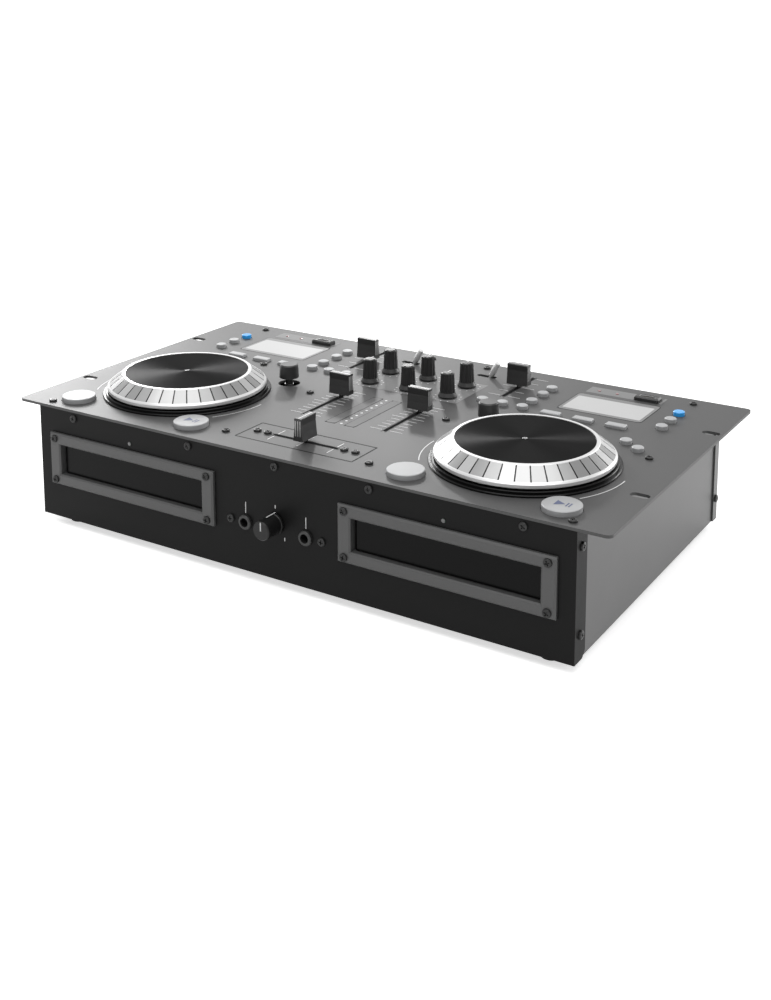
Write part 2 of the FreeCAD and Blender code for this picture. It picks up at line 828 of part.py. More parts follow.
def make_windows():
    solids = []
    for name, side in sides:
        solids.append(on_panel(window(display_length, display_width, 2.0), side * display_x, display_depth))
        solids.append(on_panel(window(meter_width, meter_length, 1.5), side * meter_x, meter_depth))
    save("display_windows", solids)


def make_usb_sockets():
    bezel = rounded_slab(usb_bezel_length, usb_bezel_width, 1.5, 0, usb_bezel_height)
    bezel = bezel.makeChamfer(1.0, [e for e in bezel.Edges
                                    if all(abs(v.Z - usb_bezel_height) < 1e-6 for v in e.Vertexes)])
    socket = bezel.fuse(centred_box(usb_body_length, usb_body_width, -usb_body_depth, 0))
    socket = socket.cut(centred_box(usb_port_length, usb_port_width,
                                    usb_bezel_height - usb_port_depth, usb_bezel_height + 1))
    save("usb_sockets", [on_panel(socket.removeSplitter(), side * display_x + usb_offset, usb_depth)
                         for name, side in sides])


# ---------------------------------------------------------------- faders
def fader_cap():
    """A waisted cap, its stem and the slider block, with the travel along Y."""
    height = cap_top - cap_bottom
    low_waist, high_waist = cap_bottom + height * 0.35, cap_bottom + height * 0.7
    half = [(cap_foot_half, cap_bottom), (cap_waist_half + 0.5, low_waist), (cap_waist_half, high_waist),
            (cap_head_half, cap_top - cap_edge), (cap_head_half - cap_edge, cap_top)]
    profile = half + [(-y, z) for y, z in reversed(half)]
    cap = extruded([(-cap_width / 2.0, y, z) for y, z in profile], V(cap_width, 0, 0))
    block_top = under_panel - track_wall - slide_gap - 0.2
    stem = centred_box(stem_thickness, stem_length, block_top, cap_bottom + 2)
    block = centred_box(slider_width, slider_length, block_top - slider_height, block_top)
    return cap.fuse([stem, block]).removeSplitter()


def fader_track(travel):
    """The slide housing under the panel, with its slot along Y."""
    cavity_length = travel + slider_length + 2 * fader_end_gap
    slot_length = travel + stem_length + 2 * fader_end_gap
    bottom = board_top + slide_gap
    housing = centred_box(track_width, cavity_length + 2 * track_wall, bottom, under_panel)
    block_top = under_panel - track_wall - slide_gap - 0.2
    cavity = centred_box(slider_width + 2 * slide_gap, cavity_length, block_top - slider_height - slide_gap,
                         under_panel - track_wall)
    low, high = under_panel - track_wall - 1, under_panel + 1
    mouth = turn(slot_slab(slot_length, fader_slot_width, low, high), 90)
    return housing.cut([cavity, mouth])


def make_faders():
    cap = fader_cap()
    tracks = []
    for node, x, depth, travel, across in fader_places():
        track = fader_track(travel)
        tracks.append(on_panel(turn(track, 90) if across else track, x, depth))
        rest = channel_fader_rest_depth if node.startswith("channel") else depth
        save(node, [on_panel(turn(cap, 90) if across else cap, x, rest)])
    save("fader_tracks", tracks)


# ---------------------------------------------------------------- knobs and their controls
def fluted_wire(radius, depth, count, z):
    """Round-bottomed flutes between narrow lands, as arcs."""
    step = 2 * math.pi / count
    edges = []

    def point(r, angle):
        return V(r * math.cos(angle), r * math.sin(angle), z)
    for n in range(count):
        start, land, end = n * step, n * step + step * 0.25, (n + 1) * step
        top_of_arc = point(radius, (start + land) / 2)
        edges.append(Part.Arc(point(radius, start), top_of_arc, point(radius, land)).toShape())
        edges.append(Part.Arc(point(radius, land), point(radius - depth, (land + end) / 2),
                              point(radius, end)).toShape())
    return Part.Wire(edges)


def mixer_knob():
    grip_bottom = mixer_knob_lift + mixer_knob_skirt_height
    skirt = turned([(0, mixer_knob_lift), (mixer_knob_skirt_radius, mixer_knob_lift),
                    (mixer_knob_skirt_radius, mixer_knob_lift + 0.7),
                    (mixer_knob_waist_radius + 0.1, grip_bottom + 1.2), (0, grip_bottom + 1.2)])
    grip = Part.makeLoft([fluted_wire(mixer_knob_waist_radius, mixer_knob_flute_depth, mixer_knob_flutes,
                                      grip_bottom),
                          fluted_wire(mixer_knob_top_radius, mixer_knob_flute_depth, mixer_knob_flutes,
                                      mixer_knob_top - 0.8)], True, True)
    crown = turned([(0, mixer_knob_top - 0.8), (mixer_knob_top_radius - mixer_knob_flute_depth,
                                                mixer_knob_top - 0.8),
                    (mixer_knob_top_radius - 1.3, mixer_knob_top - 0.1), (0, mixer_knob_top - 0.1)])
    pointer = box(-0.45, 0.45, 0.6, mixer_knob_top_radius - 1.0, mixer_knob_top - 0.8, mixer_knob_top)
    return skirt.fuse([grip, crown, pointer]).removeSplitter()


def control_shaft(top):
    bottom = under_panel - pot_height + 1.0
    return rod(shaft_radius, bottom, top)


def control_body():
    """A potentiometer or encoder under the panel, with the bushing its shaft turns in."""
    top = under_panel - 2.0
    body = centred_box(pot_size, pot_size, board_top + slide_gap, top)
    body = body.fuse(rod(bushing_radius, top, -0.2))
    return body.cut(rod(shaft_radius + running_gap, under_panel - pot_height + 0.7, 1)).removeSplitter()


def make_knobs():
    knob = mixer_knob().fuse(control_shaft(mixer_knob_lift + 1)).removeSplitter()
    bodies = []
    for node, x, depth in mixer_knob_places():
        save(node, [on_panel(knob, x, depth)])
        bodies.append(on_panel(control_body(), x, depth))
    browse = turned([(0, browse_knob_bottom), (browse_knob_radius - 0.4, browse_knob_bottom),
                     (browse_knob_radius, browse_knob_bottom + 0.4),
                     (browse_knob_top_radius, browse_knob_top - 0.9),
                     (browse_knob_top_radius - 0.8, browse_knob_top), (0, browse_knob_top)])
    browse = browse.fuse(control_shaft(browse_knob_bottom + 2)).removeSplitter()
    for name, side in sides:
        place = side * browse_x, browse_depth
        save("browse_knob_" + name, [on_panel(browse, *place)])
        bodies.append(on_panel(control_body(), *place))
    bodies.append(make_cue_control())
    save("potentiometers", bodies)


def make_cue_control():
    """The front cue mix knob, and the control that it turns; returns the control."""
    tip = knob_reach + face_depth
    knob = turned([(0, cue_knob_gap), (cue_knob_radius, cue_knob_gap),
                   (cue_knob_radius, cue_knob_gap + 1.6), (cue_knob_radius - 0.4, cue_knob_gap + 2.2),
                   (cue_knob_face_radius, tip - 0.8),
                   (cue_knob_face_radius - 0.7, tip), (0, tip)])
    shaft_end = -sheet - cue_pot_depth + 2.0
    knob = knob.fuse(rod(shaft_radius, shaft_end, cue_knob_gap + 1)).removeSplitter()
    save("cue_mix_knob", [on_front(knob, 0, cue_knob_drop)])
    body = centred_box(cue_pot_size, cue_pot_size, -sheet - cue_pot_depth, -sheet)
    body = body.fuse(rod(bushing_radius, -sheet, cue_knob_gap - slide_gap))
    body = body.cut(rod(shaft_radius + running_gap, shaft_end - 0.4, 5)).removeSplitter()
    return on_front(body, 0, cue_knob_drop)


# ---------------------------------------------------------------- source levers
def source_lever():
    """The flat lever upright about its pivot, with its cross pin."""
    half = lever_thickness / 2.0
    blade = box(-half, half, -lever_width / 2.0, lever_width / 2.0, -2.4, lever_length)
    blade = blade.makeFillet(half * 0.8, [e for e in blade.Edges if e.BoundBox.ZMin > lever_length - 1e-6
                                          and e.BoundBox.YLength > 1.0])
    reach = lever_block_width / 2.0
    pin = turn(rod(lever_pin_radius, -reach + 0.4, reach - 0.4), 90, V(1, 0, 0))
    return blade.fuse(pin).removeSplitter()


def lever_block():
    """The lever's switch body: a slotted block that carries the cross pin."""
    pivot = under_panel - lever_pivot_drop
    block = centred_box(lever_block_length, lever_block_width, board_top + slide_gap, under_panel)
    well = centred_box(lever_slot_length, lever_width + 2 * slide_gap, pivot - 4.0, under_panel + 1)
    reach = lever_block_width / 2.0
    bore = turn(rod(lever_pin_radius + running_gap, -reach, reach), 90, V(1, 0, 0))
    return block.cut([well, shift(bore, 0, 0, pivot)])


def make_levers():
    leaning = turn(source_lever(), lever_lean, V(0, 1, 0))
    leaning = shift(leaning, 0, 0, under_panel - lever_pivot_drop)
    for name, side in sides:
        save("source_lever_" + name, [on_panel(leaning, side * lever_x, lever_depth)])


# ---------------------------------------------------------------- circuit boards
def deck_board(side):
    low, high = sorted((side * deck_board_inner, side * deck_board_outer))
    board = box(low, high, 0, board_rear - board_front, board_top - board_thickness, board_top)
    board = on_panel(board, 0, board_front)
    keys = start_key_places(side) + round_key_places(side) + track_key_places(side)
    fitted = [on_panel(key_switch(), x, depth) for x, depth in keys + [eject_key_place(side)]]
    fitted += [on_panel(rod(standoff_radius, board_top, under_panel), side * x, depth)
               for x, depth in deck_standoffs]
    strip_x = side * display_x
    fitted += [on_panel(rod(media_led_radius, board_top, -0.1), strip_x + offset, media_led_depth)
               for offset in media_led_offsets]
    led = on_front(rod(disc_led_radius, -board_front + face_depth - 4.0, -0.2), side * bay_x, disc_led_drop)
    board = board.fuse(fitted + [led])
    holes = [on_panel(rod(screw_shank_radius, -screw_length, 1), side * x, depth)
             for x, depth in deck_standoffs]
    return board.cut(holes).removeSplitter()


def mixer_board():
    board = box(-mixer_board_half, mixer_board_half, 0, board_rear - board_front - mixer_board_inset,
                board_top - board_thickness, board_top)
    board = on_panel(board, 0, board_front + mixer_board_inset)
    fitted = [on_panel(rod(standoff_radius, board_top, under_panel), x, depth)
              for x, depth in mirrored(mixer_standoffs)]
    fitted += [on_panel(lever_block(), side * lever_x, lever_depth) for name, side in sides]
    fitted += [on_panel(centred_box(6.0, 6.0, board_top, board_top + slide_gap + 0.1),
                        side * lever_x, lever_depth)
               for name, side in sides]
    board = board.fuse(fitted)
    holes = [on_panel(rod(screw_shank_radius, -screw_length, 1), x, depth)
             for x, depth in mirrored(mixer_standoffs)]
    return board.cut(holes).removeSplitter()


def make_boards():
    save("control_boards", [deck_board(-1), mixer_board(), deck_board(1)])


# ---------------------------------------------------------------- front fittings
def make_tray_bezels():
    plate = centred_box(bezel_width, bezel_height, 0, bezel_thickness)
    rim = [e for e in plate.Edges if all(abs(v.Z - bezel_thickness) < 1e-6 for v in e.Vertexes)]
    plate = plate.makeChamfer(bezel_edge, rim)
    width, height = bay_opening(0)
    sleeve = centred_box(width, height, -bezel_sleeve_depth, 0)
    bezel = plate.fuse(sleeve).cut(centred_box(window_width, window_height, -bezel_sleeve_depth - 1,
                                               bezel_thickness + 1))
    mouth = centred_box(window_width + 2, window_height + 2, bezel_thickness - 1, bezel_thickness + 0.01)
    inner = [e for e in mouth.Edges if all(v.Z < bezel_thickness - 0.9 for v in e.Vertexes)]
    bezel = bezel.cut(mouth.makeChamfer(0.95, inner))
    holes = [rod(screw_shank_radius, -2, bezel_thickness + 1, x, z) for x in (-bezel_screw_x, bezel_screw_x)
             for z in (-bezel_screw_z, bezel_screw_z)]
    bezel = bezel.cut(holes).removeSplitter()
    save("tray_bezels", [on_front(bezel, side * bay_x, bay_drop) for name, side in sides])


def make_front_jacks():
    collar = turned([(0, 0), (socket_collar_radius, 0), (socket_collar_radius, socket_collar_height - 0.6),
                     (socket_collar_radius - 0.6, socket_collar_height), (0, socket_collar_height)])
    neck = rod(socket_collar_radius - 1.5, -sheet, 0)
    body = centred_box(socket_body_width, socket_body_height, -sheet - socket_bore_length, -sheet)
    jack = collar.fuse([neck, body]).cut(rod(socket_bore_radius, socket_collar_height - socket_bore_length,
                                             socket_collar_height + 1)).removeSplitter()
    save("front_jacks", [on_front(jack, side * front_socket_x, front_socket_drop) for name, side in sides])


# ---------------------------------------------------------------- disc loaders
def make_disc_tray():
    door_half = window_width / 2.0 - door_gap
    door = in_case(-door_half, door_half, door_front, door_back, bay_drop - window_height / 2.0 + door_gap,
                   bay_drop + window_height / 2.0 - door_gap)
    ends = [e for e in door.Edges
            if e.BoundBox.ZLength > 10 and e.BoundBox.YMin < front_y + door_front + 1e-6]
    door = door.makeFillet(door_corner, ends)
    half = tray_width / 2.0
    body = in_case(-half, half, door_back, door_back + tray_length, tray_top_drop, tray_bottom_drop)
    top = -tray_top_drop
    seat = on_panel(rod(disc_seat_radius, top - disc_seat_depth, top + 1), 0, disc_depth)
    small_floor = top - disc_seat_depth - small_disc_depth
    small = on_panel(rod(small_disc_radius, small_floor, top + 1), 0, disc_depth)
    slot = in_case(-pickup_slot_width / 2.0, pickup_slot_width / 2.0, disc_depth, pickup_slot_rear,
                   tray_top_drop - 1, tray_bottom_drop + 1)
    nose = on_panel(rod(pickup_slot_reach, -tray_bottom_drop - 1, top + 1), 0, disc_depth)
    rib_bottom = bay_drop + window_height / 2.0 - door_gap
    rib_end = door_back + tray_rib_length
    ribs = [in_case(x - tray_rib_half, x + tray_rib_half, door_back, rib_end, tray_bottom_drop, rib_bottom)
            for x in (tray_rib_inset - half, half - tray_rib_inset)]
    return door.fuse([body] + ribs).cut([seat, small, slot, nose]).removeSplitter()


def make_loader_frame():
    half = tray_width / 2.0 + slide_gap
    outer = half + loader_wall
    floor = in_case(-outer, outer, loader_front, loader_rear, loader_floor_drop,
                    loader_floor_drop + loader_floor_thickness)
    solids = []
    for sign in (-1, 1):
        low, high = sorted((sign * half, sign * outer))
        wall = in_case(low, high, loader_front, loader_rear, loader_wall_top_drop, loader_floor_drop)
        solids.append(wall)
        low, high = sorted((sign * (half - runner_reach), sign * (half + runner_seat)))
        ledge = tray_bottom_drop + slide_gap
        solids.append(in_case(low, high, loader_front, loader_rear - runner_rear_gap,
                              ledge, ledge + runner_thickness))
        guide = tray_top_drop - slide_gap
        solids.append(in_case(low, high, loader_front, disc_depth - guide_rear_gap,
                              guide - runner_thickness, guide))
        for depth in (loader_front + loader_leg_inset, loader_rear - loader_leg_inset):
            low, high = sorted((sign * (outer - loader_leg_size), sign * outer))
            solids.append(in_case(low, high, depth - loader_leg_size / 2.0, depth + loader_leg_size / 2.0,
                                  loader_floor_drop + loader_floor_thickness, body_height - sheet))
    solids.append(in_case(-outer, outer, loader_rear - cross_bar_thickness, loader_rear,
                          loader_wall_top_drop + cross_bar_drop, loader_floor_drop))
    bridge_low = loader_wall_top_drop
    solids.append(in_case(-outer, outer, disc_depth - bridge_width / 2.0, disc_depth + bridge_width / 2.0,
                          bridge_low - bridge_thickness, bridge_low))
    solids.append(on_panel(rod(clamp_radius, -bridge_low - clamp_thickness, -bridge_low), 0, disc_depth))
    solids += traverse_deck()
    return floor.fuse(solids).removeSplitter()


def traverse_deck():
    """The plate under the tray that carries the spindle motor, the sled rods and the pickup."""
    top, bottom = deck_plate_drop, deck_plate_drop + deck_plate_thickness
    front, rear = disc_depth - deck_plate_front_reach, disc_depth + deck_plate_rear_reach
    plate = in_case(-deck_plate_half, deck_plate_half, front, rear, top, bottom)
    motor = on_panel(rod(motor_radius, -bottom - motor_height, -top + 0.01), 0, disc_depth)
    shaft_floor = -bottom - motor_height + motor_floor
    bore = on_panel(rod(spindle_shaft_radius + running_gap, shaft_floor, -top + 1), 0, disc_depth)
    window_cut = in_case(-pickup_size[0] / 2.0 + 4, pickup_size[0] / 2.0 - 4, disc_depth + 17, rear - 5,
                         top - 1, bottom + 1)
    posts = [on_panel(rod(deck_post_radius, -loader_floor_drop, -bottom),
                      sign * (deck_plate_half - deck_post_inset), depth)
             for sign in (-1, 1) for depth in (front + deck_post_inset, rear - deck_post_inset)]
    rods, stands = [], []
    rod_start, rod_end = disc_depth + rod_front_gap, rear - rod_rear_gap
    rod_centre = top - pickup_rod_radius - rod_deck_gap
    for sign in (-1, 1):
        x = sign * pickup_rod_spread
        bar = turn(rod(pickup_rod_radius, 0, rod_end - rod_start), -90, V(1, 0, 0))
        rods.append(shift(bar, x, front_y + rod_start, panel_top - rod_centre))
        for depth in (rod_start + 1, rod_end - rod_stand_length):
            stands.append(in_case(x - rod_stand_half, x + rod_stand_half, depth, depth + rod_stand_length,
                                  rod_centre - pickup_rod_radius, top))
    length, width, height = pickup_size
    sled = in_case(-length / 2.0, length / 2.0, pickup_depth - width / 2.0, pickup_depth + width / 2.0,
                   rod_centre - height / 2.0 - 0.5, rod_centre + height / 2.0 - 0.5)
    lens_base = -(rod_centre - height / 2.0 - 0.5)
    lens = on_panel(rod(pickup_lens_radius, lens_base, lens_base + pickup_lens_height), 0, pickup_depth)
    deck = plate.fuse([motor] + posts).cut([bore, window_cut])
    return [deck] + rods + stands + [sled, lens]


def make_spindle():
    flange_top, flange_low = -spindle_flange_drop, -spindle_flange_drop - spindle_flange_thickness
    shaft_end = -deck_plate_drop - deck_plate_thickness - motor_height + motor_floor + slide_gap
    return turned([(0, shaft_end), (spindle_shaft_radius, shaft_end), (spindle_shaft_radius, flange_low),
                   (spindle_flange_radius, flange_low), (spindle_flange_radius, flange_top),
                   (spindle_cone_radius, flange_top), (spindle_cone_radius, flange_top + 1.6),
                   (spindle_cone_radius - 2.4, -spindle_top_drop), (0, -spindle_top_drop)])


def make_loaders():
    tray, frame, spindle = make_disc_tray(), make_loader_frame(), make_spindle()
    for name, side in sides:
        save("disc_tray_" + name, [shift(tray, side * bay_x, 0, 0)])
        save("loader_frame_" + name, [shift(frame, side * bay_x, 0, 0)])
        save("spindle_" + name, [on_panel(spindle, side * bay_x, disc_depth)])


# ---------------------------------------------------------------- rear fittings and power
def make_rca_sockets():
    solids = []
    bottom, neck = -rca_block_depth + 1, rca_flange_radius - 1.2
    barrel = turned([(rca_bore_radius, bottom), (neck, bottom), (neck, 0), (rca_flange_radius, 0),
                     (rca_flange_radius, 1.0), (rca_radius, 1.0), (rca_radius, rca_reach),
                     (rca_bore_radius, rca_reach)])
    for x in rca_columns:
        for drop in rca_drops:
            solids.append(on_rear(barrel, x, drop))
    height = rca_drops[1] - rca_drops[0] + rca_pitch
    middle = (rca_drops[0] + rca_drops[1]) / 2.0
    groups = []
    for group in rca_groups:
        carrier = centred_box(rca_pitch * 2, height, -sheet - rca_block_depth, -sheet)
        carrier = on_rear(carrier, group, middle)
        near = [s for s in solids if abs(s.BoundBox.Center.x - group) < rca_pitch]
        bores = [on_rear(rod(rca_bore_radius, bottom, 1), group + sign * rca_pitch / 2.0, drop)
                 for sign in (-1, 1) for drop in rca_drops]
        groups.append(carrier.fuse(near).cut(bores).removeSplitter())
    save("rca_sockets", groups)


def make_mains_inlet():
    flange = rounded_slab(inlet_flange[0], inlet_flange[1], 2.0, 0, rear_flange_thickness)
    shell = centred_box(inlet_mouth[0] + 2 * inlet_wall, inlet_mouth[1] + 2 * inlet_wall,
                        -inlet_well - inlet_wall, 0)
    well_bottom = rear_flange_thickness - inlet_well
    well = rounded_slab(inlet_mouth[0], inlet_mouth[1], 2.5, well_bottom, rear_flange_thickness + 1)
    inlet = flange.fuse(shell).cut(well)
    tip = rear_flange_thickness - inlet_pin_tip
    pins = [centred_box(inlet_pin[0], inlet_pin[1], well_bottom - 0.5, tip, x, y)
            for x, y in ((-inlet_pin_spread, inlet_pin_rise), (0, -inlet_pin_rise),
                         (inlet_pin_spread, inlet_pin_rise))]
    inlet = on_rear(inlet.fuse(pins).removeSplitter(), inlet_x, inlet_drop)
    save("mains_inlet", [inlet, rocker_housing_solid()])


def rocker_housing_solid():
    flange = rounded_slab(rocker_flange[0], rocker_flange[1], 1.5, 0, rear_flange_thickness)
    body = centred_box(rocker_housing[0], rocker_housing[1], -rocker_depth, 0)
    well = centred_box(rocker_size[0] + 2 * rocker_end_gap, rocker_size[1] + 2 * slide_gap,
                       -rocker_depth + rocker_well_floor, rear_flange_thickness + 1)
    bore = turn(rod(rocker_pin_radius + running_gap, -rocker_housing[1] / 2.0, rocker_housing[1] / 2.0),
                90, V(1, 0, 0))
    housing = flange.fuse(body).cut([well, shift(bore, 0, 0, -rocker_pin_radius - rocker_pin_drop)])
    return on_rear(housing.removeSplitter(), rocker_x, inlet_drop)


def make_power_rocker():
    """A rocker with two flats that meet over its pivot, shown switched off."""
    half = rocker_size[0] / 2.0
    rise = half * math.tan(math.radians(rocker_tilt))
    crest = rear_flange_thickness + rocker_crest_rise
    pivot = -rocker_pin_radius - rocker_pin_drop
    cheek, foot = crest - rocker_cheek_drop, pivot - rocker_foot_drop
    outline = [(-half, crest + rise), (0, crest), (half, crest + rise), (half, cheek),
               (rocker_foot_half, foot), (-rocker_foot_half, foot), (-half, cheek)]
    body = extruded([(x, -rocker_size[1] / 2.0, z) for x, z in outline], V(0, rocker_size[1], 0))
    pin_half = rocker_housing[1] / 2.0 - 0.3
    pin = turn(rod(rocker_pin_radius, -pin_half, pin_half), 90, V(1, 0, 0))
    rocker = body.fuse(shift(pin, 0, 0, pivot)).removeSplitter()
    rocker = turn(rocker, rocker_tilt, V(0, 1, 0), V(0, 0, pivot))
    save("power_rocker", [on_rear(rocker, rocker_x, inlet_drop)])


def make_power_supply():
    board_low = body_height - sheet - supply_rise
    half_x, half_y = supply_size[0] / 2.0, supply_size[1] / 2.0
    board = in_case(-half_x, half_x, supply_depth - half_y, supply_depth + half_y,
                    board_low - board_thickness, board_low)
    posts = []
    for sx in (-1, 1):
        x = sx * (half_x - supply_post_inset)
        for sy in (-1, 1):
            depth = supply_depth + sy * (half_y - supply_post_inset)
            posts.append(in_case(x - supply_post_half, x + supply_post_half, depth - supply_post_half,
                                 depth + supply_post_half, board_low, body_height - sheet))
    top = board_low - board_thickness
    length, width, height = transformer_size
    left = transformer_inset - half_x
    core = in_case(left, left + length, supply_depth - width / 2.0, supply_depth + width / 2.0,
                   top - height, top)
    caps = [on_panel(rod(capacitor_radius, -top, capacitor_height - top), capacitor_x, supply_depth + y)
            for y in (-capacitor_radius * 1.4, capacitor_radius * 1.4)]
    thick, wide, high = heat_sink_size
    sink = in_case(heat_sink_x, heat_sink_x + thick, supply_depth - wide / 2.0, supply_depth + wide / 2.0,
                   top - high, top)
    save("power_supply", [board.fuse(posts + [core, sink] + caps).removeSplitter()])


# ---------------------------------------------------------------- build
os.makedirs("parts", exist_ok=True)
make_top_panel()
make_front_panel()
make_rear_panel()
make_chassis_pan()
make_feet()
make_screws()
make_jogs()
make_keys()
make_windows()
make_usb_sockets()
make_faders()
make_knobs()
make_levers()
make_boards()
make_tray_bezels()
make_front_jacks()
make_loaders()
make_rca_sockets()
make_mains_inlet()
make_power_rocker()
make_power_supply()
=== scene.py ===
import json
import math
import bpy
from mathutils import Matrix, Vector


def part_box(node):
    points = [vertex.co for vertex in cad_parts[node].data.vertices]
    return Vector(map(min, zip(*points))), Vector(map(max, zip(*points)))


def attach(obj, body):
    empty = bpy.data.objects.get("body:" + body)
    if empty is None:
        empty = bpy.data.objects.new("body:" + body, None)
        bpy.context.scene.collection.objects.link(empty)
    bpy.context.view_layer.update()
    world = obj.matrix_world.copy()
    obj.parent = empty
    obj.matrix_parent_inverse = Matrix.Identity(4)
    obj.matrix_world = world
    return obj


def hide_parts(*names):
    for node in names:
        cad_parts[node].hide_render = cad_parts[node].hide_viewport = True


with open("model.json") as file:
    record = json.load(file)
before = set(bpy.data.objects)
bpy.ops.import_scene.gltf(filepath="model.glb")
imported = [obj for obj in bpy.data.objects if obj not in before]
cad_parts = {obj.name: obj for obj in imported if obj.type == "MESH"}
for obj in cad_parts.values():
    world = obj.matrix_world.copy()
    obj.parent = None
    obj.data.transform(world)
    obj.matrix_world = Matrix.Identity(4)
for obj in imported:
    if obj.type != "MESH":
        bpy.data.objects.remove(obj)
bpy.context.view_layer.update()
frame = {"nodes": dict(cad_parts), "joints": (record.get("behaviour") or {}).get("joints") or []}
nodes = frame["nodes"]
joints = {j["name"]: j for j in frame["joints"]}
decks = {"a": -1, "b": 1}  # the side each deck is on: a is on the left
faders = ("channel_fader_a", "channel_fader_b", "pitch_fader_a", "pitch_fader_b", "crossfader")
mixerKnobs = [node for node in nodes if node.startswith("mixer_knob_")]
mm = 0.001  # the object's sizes here are in millimetres, camera and studio in metres

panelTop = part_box("top_panel")[1].z
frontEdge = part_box("top_panel")[0].y
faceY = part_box("front_panel")[0].y
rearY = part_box("rear_panel")[1].y
trayAcross = 130.1  # from the middle to each tray
displayAcross = 149.3  # and to each display
print("frame loaded:", len(nodes), "nodes")


def onPanel(x, depth, lift=0.0):
    return Vector((x * mm, frontEdge + depth * mm, panelTop + lift * mm))


def onFace(x, drop, out=0.0):
    return Vector((x * mm, faceY - out * mm, panelTop - drop * mm))


def onRear(x, drop, out=0.0):
    return Vector((x * mm, rearY + out * mm, panelTop - drop * mm))


def middleOf(node):
    low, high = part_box(node)
    return (low + high) / 2


def depthOf(place):
    # how far behind the panel's front edge
    return (place.y - frontEdge) / mm


def jogCentre(deck):
    return Vector(joints["jog_%s_spin" % deck]["pos_m"])


def slideOf(node):
    # the middle of a fader's travel, counted from its place at rest, and the whole travel
    low, high = joints[node + "_slide"]["range_m"]
    return (low + high) / 2 / mm, (high - low) / mm


# camera
camera = {"lens": 48.121, "shift": (-0.0125, -0.3), "place": (0.5177, -0.8049, 0.4123), "pitch": 0.1689,
          "yaw": 0.5537, "clipStart": 0.01}
bpy.ops.object.camera_add(location=camera["place"],
                          rotation=(math.pi / 2 - camera["pitch"], 0, camera["yaw"]))
cam = bpy.context.object
cam.name = "camera"
cam.data.lens = camera["lens"]
cam.data.shift_x, cam.data.shift_y = camera["shift"]
cam.data.clip_start = camera["clipStart"]
bpy.context.scene.camera = cam
bpy.context.scene.view_settings.view_transform = "Standard"


# node helpers
def grey(level, tint=(1.0, 1.0, 1.0)):
    return (level * tint[0], level * tint[1], level * tint[2], 1.0)


def newMaterial(name, **sockets):
    material = bpy.data.materials.new(name)
    material.use_nodes = True
    shader = material.node_tree.nodes["Principled BSDF"]
    for socket, value in sockets.items():
        shader.inputs[socket.replace("_", " ")].default_value = value
    return material, material.node_tree, shader


def addNode(tree, kind, **settings):
    node = tree.nodes.new(kind)
    for key, value in settings.items():
        setattr(node, key, value)
    return node


def feed(tree, socket, value):
    # an output is linked to the socket, anything else is its value
    if isinstance(value, bpy.types.NodeSocket):
        tree.links.new(value, socket)
    else:
        socket.default_value = value


def compute(tree, operation, *values, **settings):
    node = addNode(tree, "ShaderNodeMath", operation=operation, **settings)
    for socket, value in zip(node.inputs, values):
        feed(tree, socket, value)
    return node.outputs[0]


def mapRange(tree, value, fromMin, fromMax, toMin=0.0, toMax=1.0):
    node = addNode(tree, "ShaderNodeMapRange")
    for socket, end in (("Value", value), ("From Min", fromMin), ("From Max", fromMax), ("To Min", toMin),
                        ("To Max", toMax)):
        feed(tree, node.inputs[socket], end)
    return node.outputs["Result"]


def mixColors(tree, factor, first, second):
    node = addNode(tree, "ShaderNodeMix", data_type="RGBA")
    for socket, value in (("Factor", factor), ("A", first), ("B", second)):
        feed(tree, node.inputs[socket], value)
    return node.outputs["Result"]


def twoTones(tree, factor, dark, light):
    node = addNode(tree, "ShaderNodeValToRGB")
    node.color_ramp.elements[0].color = grey(dark)
    node.color_ramp.elements[1].color = grey(light)
    tree.links.new(factor, node.inputs["Fac"])
    return node.outputs["Color"]


def offsetFrom(tree, centre):
    # the offset from an upright axis through centre, in metres
    place = addNode(tree, "ShaderNodeTexCoord")
    offset = addNode(tree, "ShaderNodeMapping")
    offset.inputs["Location"].default_value = (-centre.x, -centre.y, 0.0)
    offset.inputs["Scale"].default_value = (1.0, 1.0, 0.0)
    tree.links.new(place.outputs["Object"], offset.inputs["Vector"])
    return offset.outputs["Vector"]


def lengthOf(tree, vector):
    node = addNode(tree, "ShaderNodeVectorMath", operation="LENGTH")
    tree.links.new(vector, node.inputs[0])
    return node.outputs["Value"]


def newGroup(name, inputs, outputs):
    # an input is given its kind of socket, or for a plain number its default, and an output its kind
    group = bpy.data.node_groups.new(name, "ShaderNodeTree")
    for label, kind in inputs.items():
        if isinstance(kind, float):
            socket = group.interface.new_socket(label, in_out="INPUT", socket_type="NodeSocketFloat")
            socket.default_value = kind
        else:
            group.interface.new_socket(label, in_out="INPUT", socket_type="NodeSocket" + kind)
    for label, kind in outputs.items():
        group.interface.new_socket(label, in_out="OUTPUT", socket_type="NodeSocket" + kind)
    return group, addNode(group, "NodeGroupInput").outputs, addNode(group, "NodeGroupOutput").inputs


# grain and soft blotches, shared by every painted and moulded finish
surfaceLook = {"grainTint": 0.1, "grainDetail": 3.0, "blotch": 0.06, "blotchScale": 14.0, "blotchDetail": 5.0,
               "bumpDistance": 0.1}


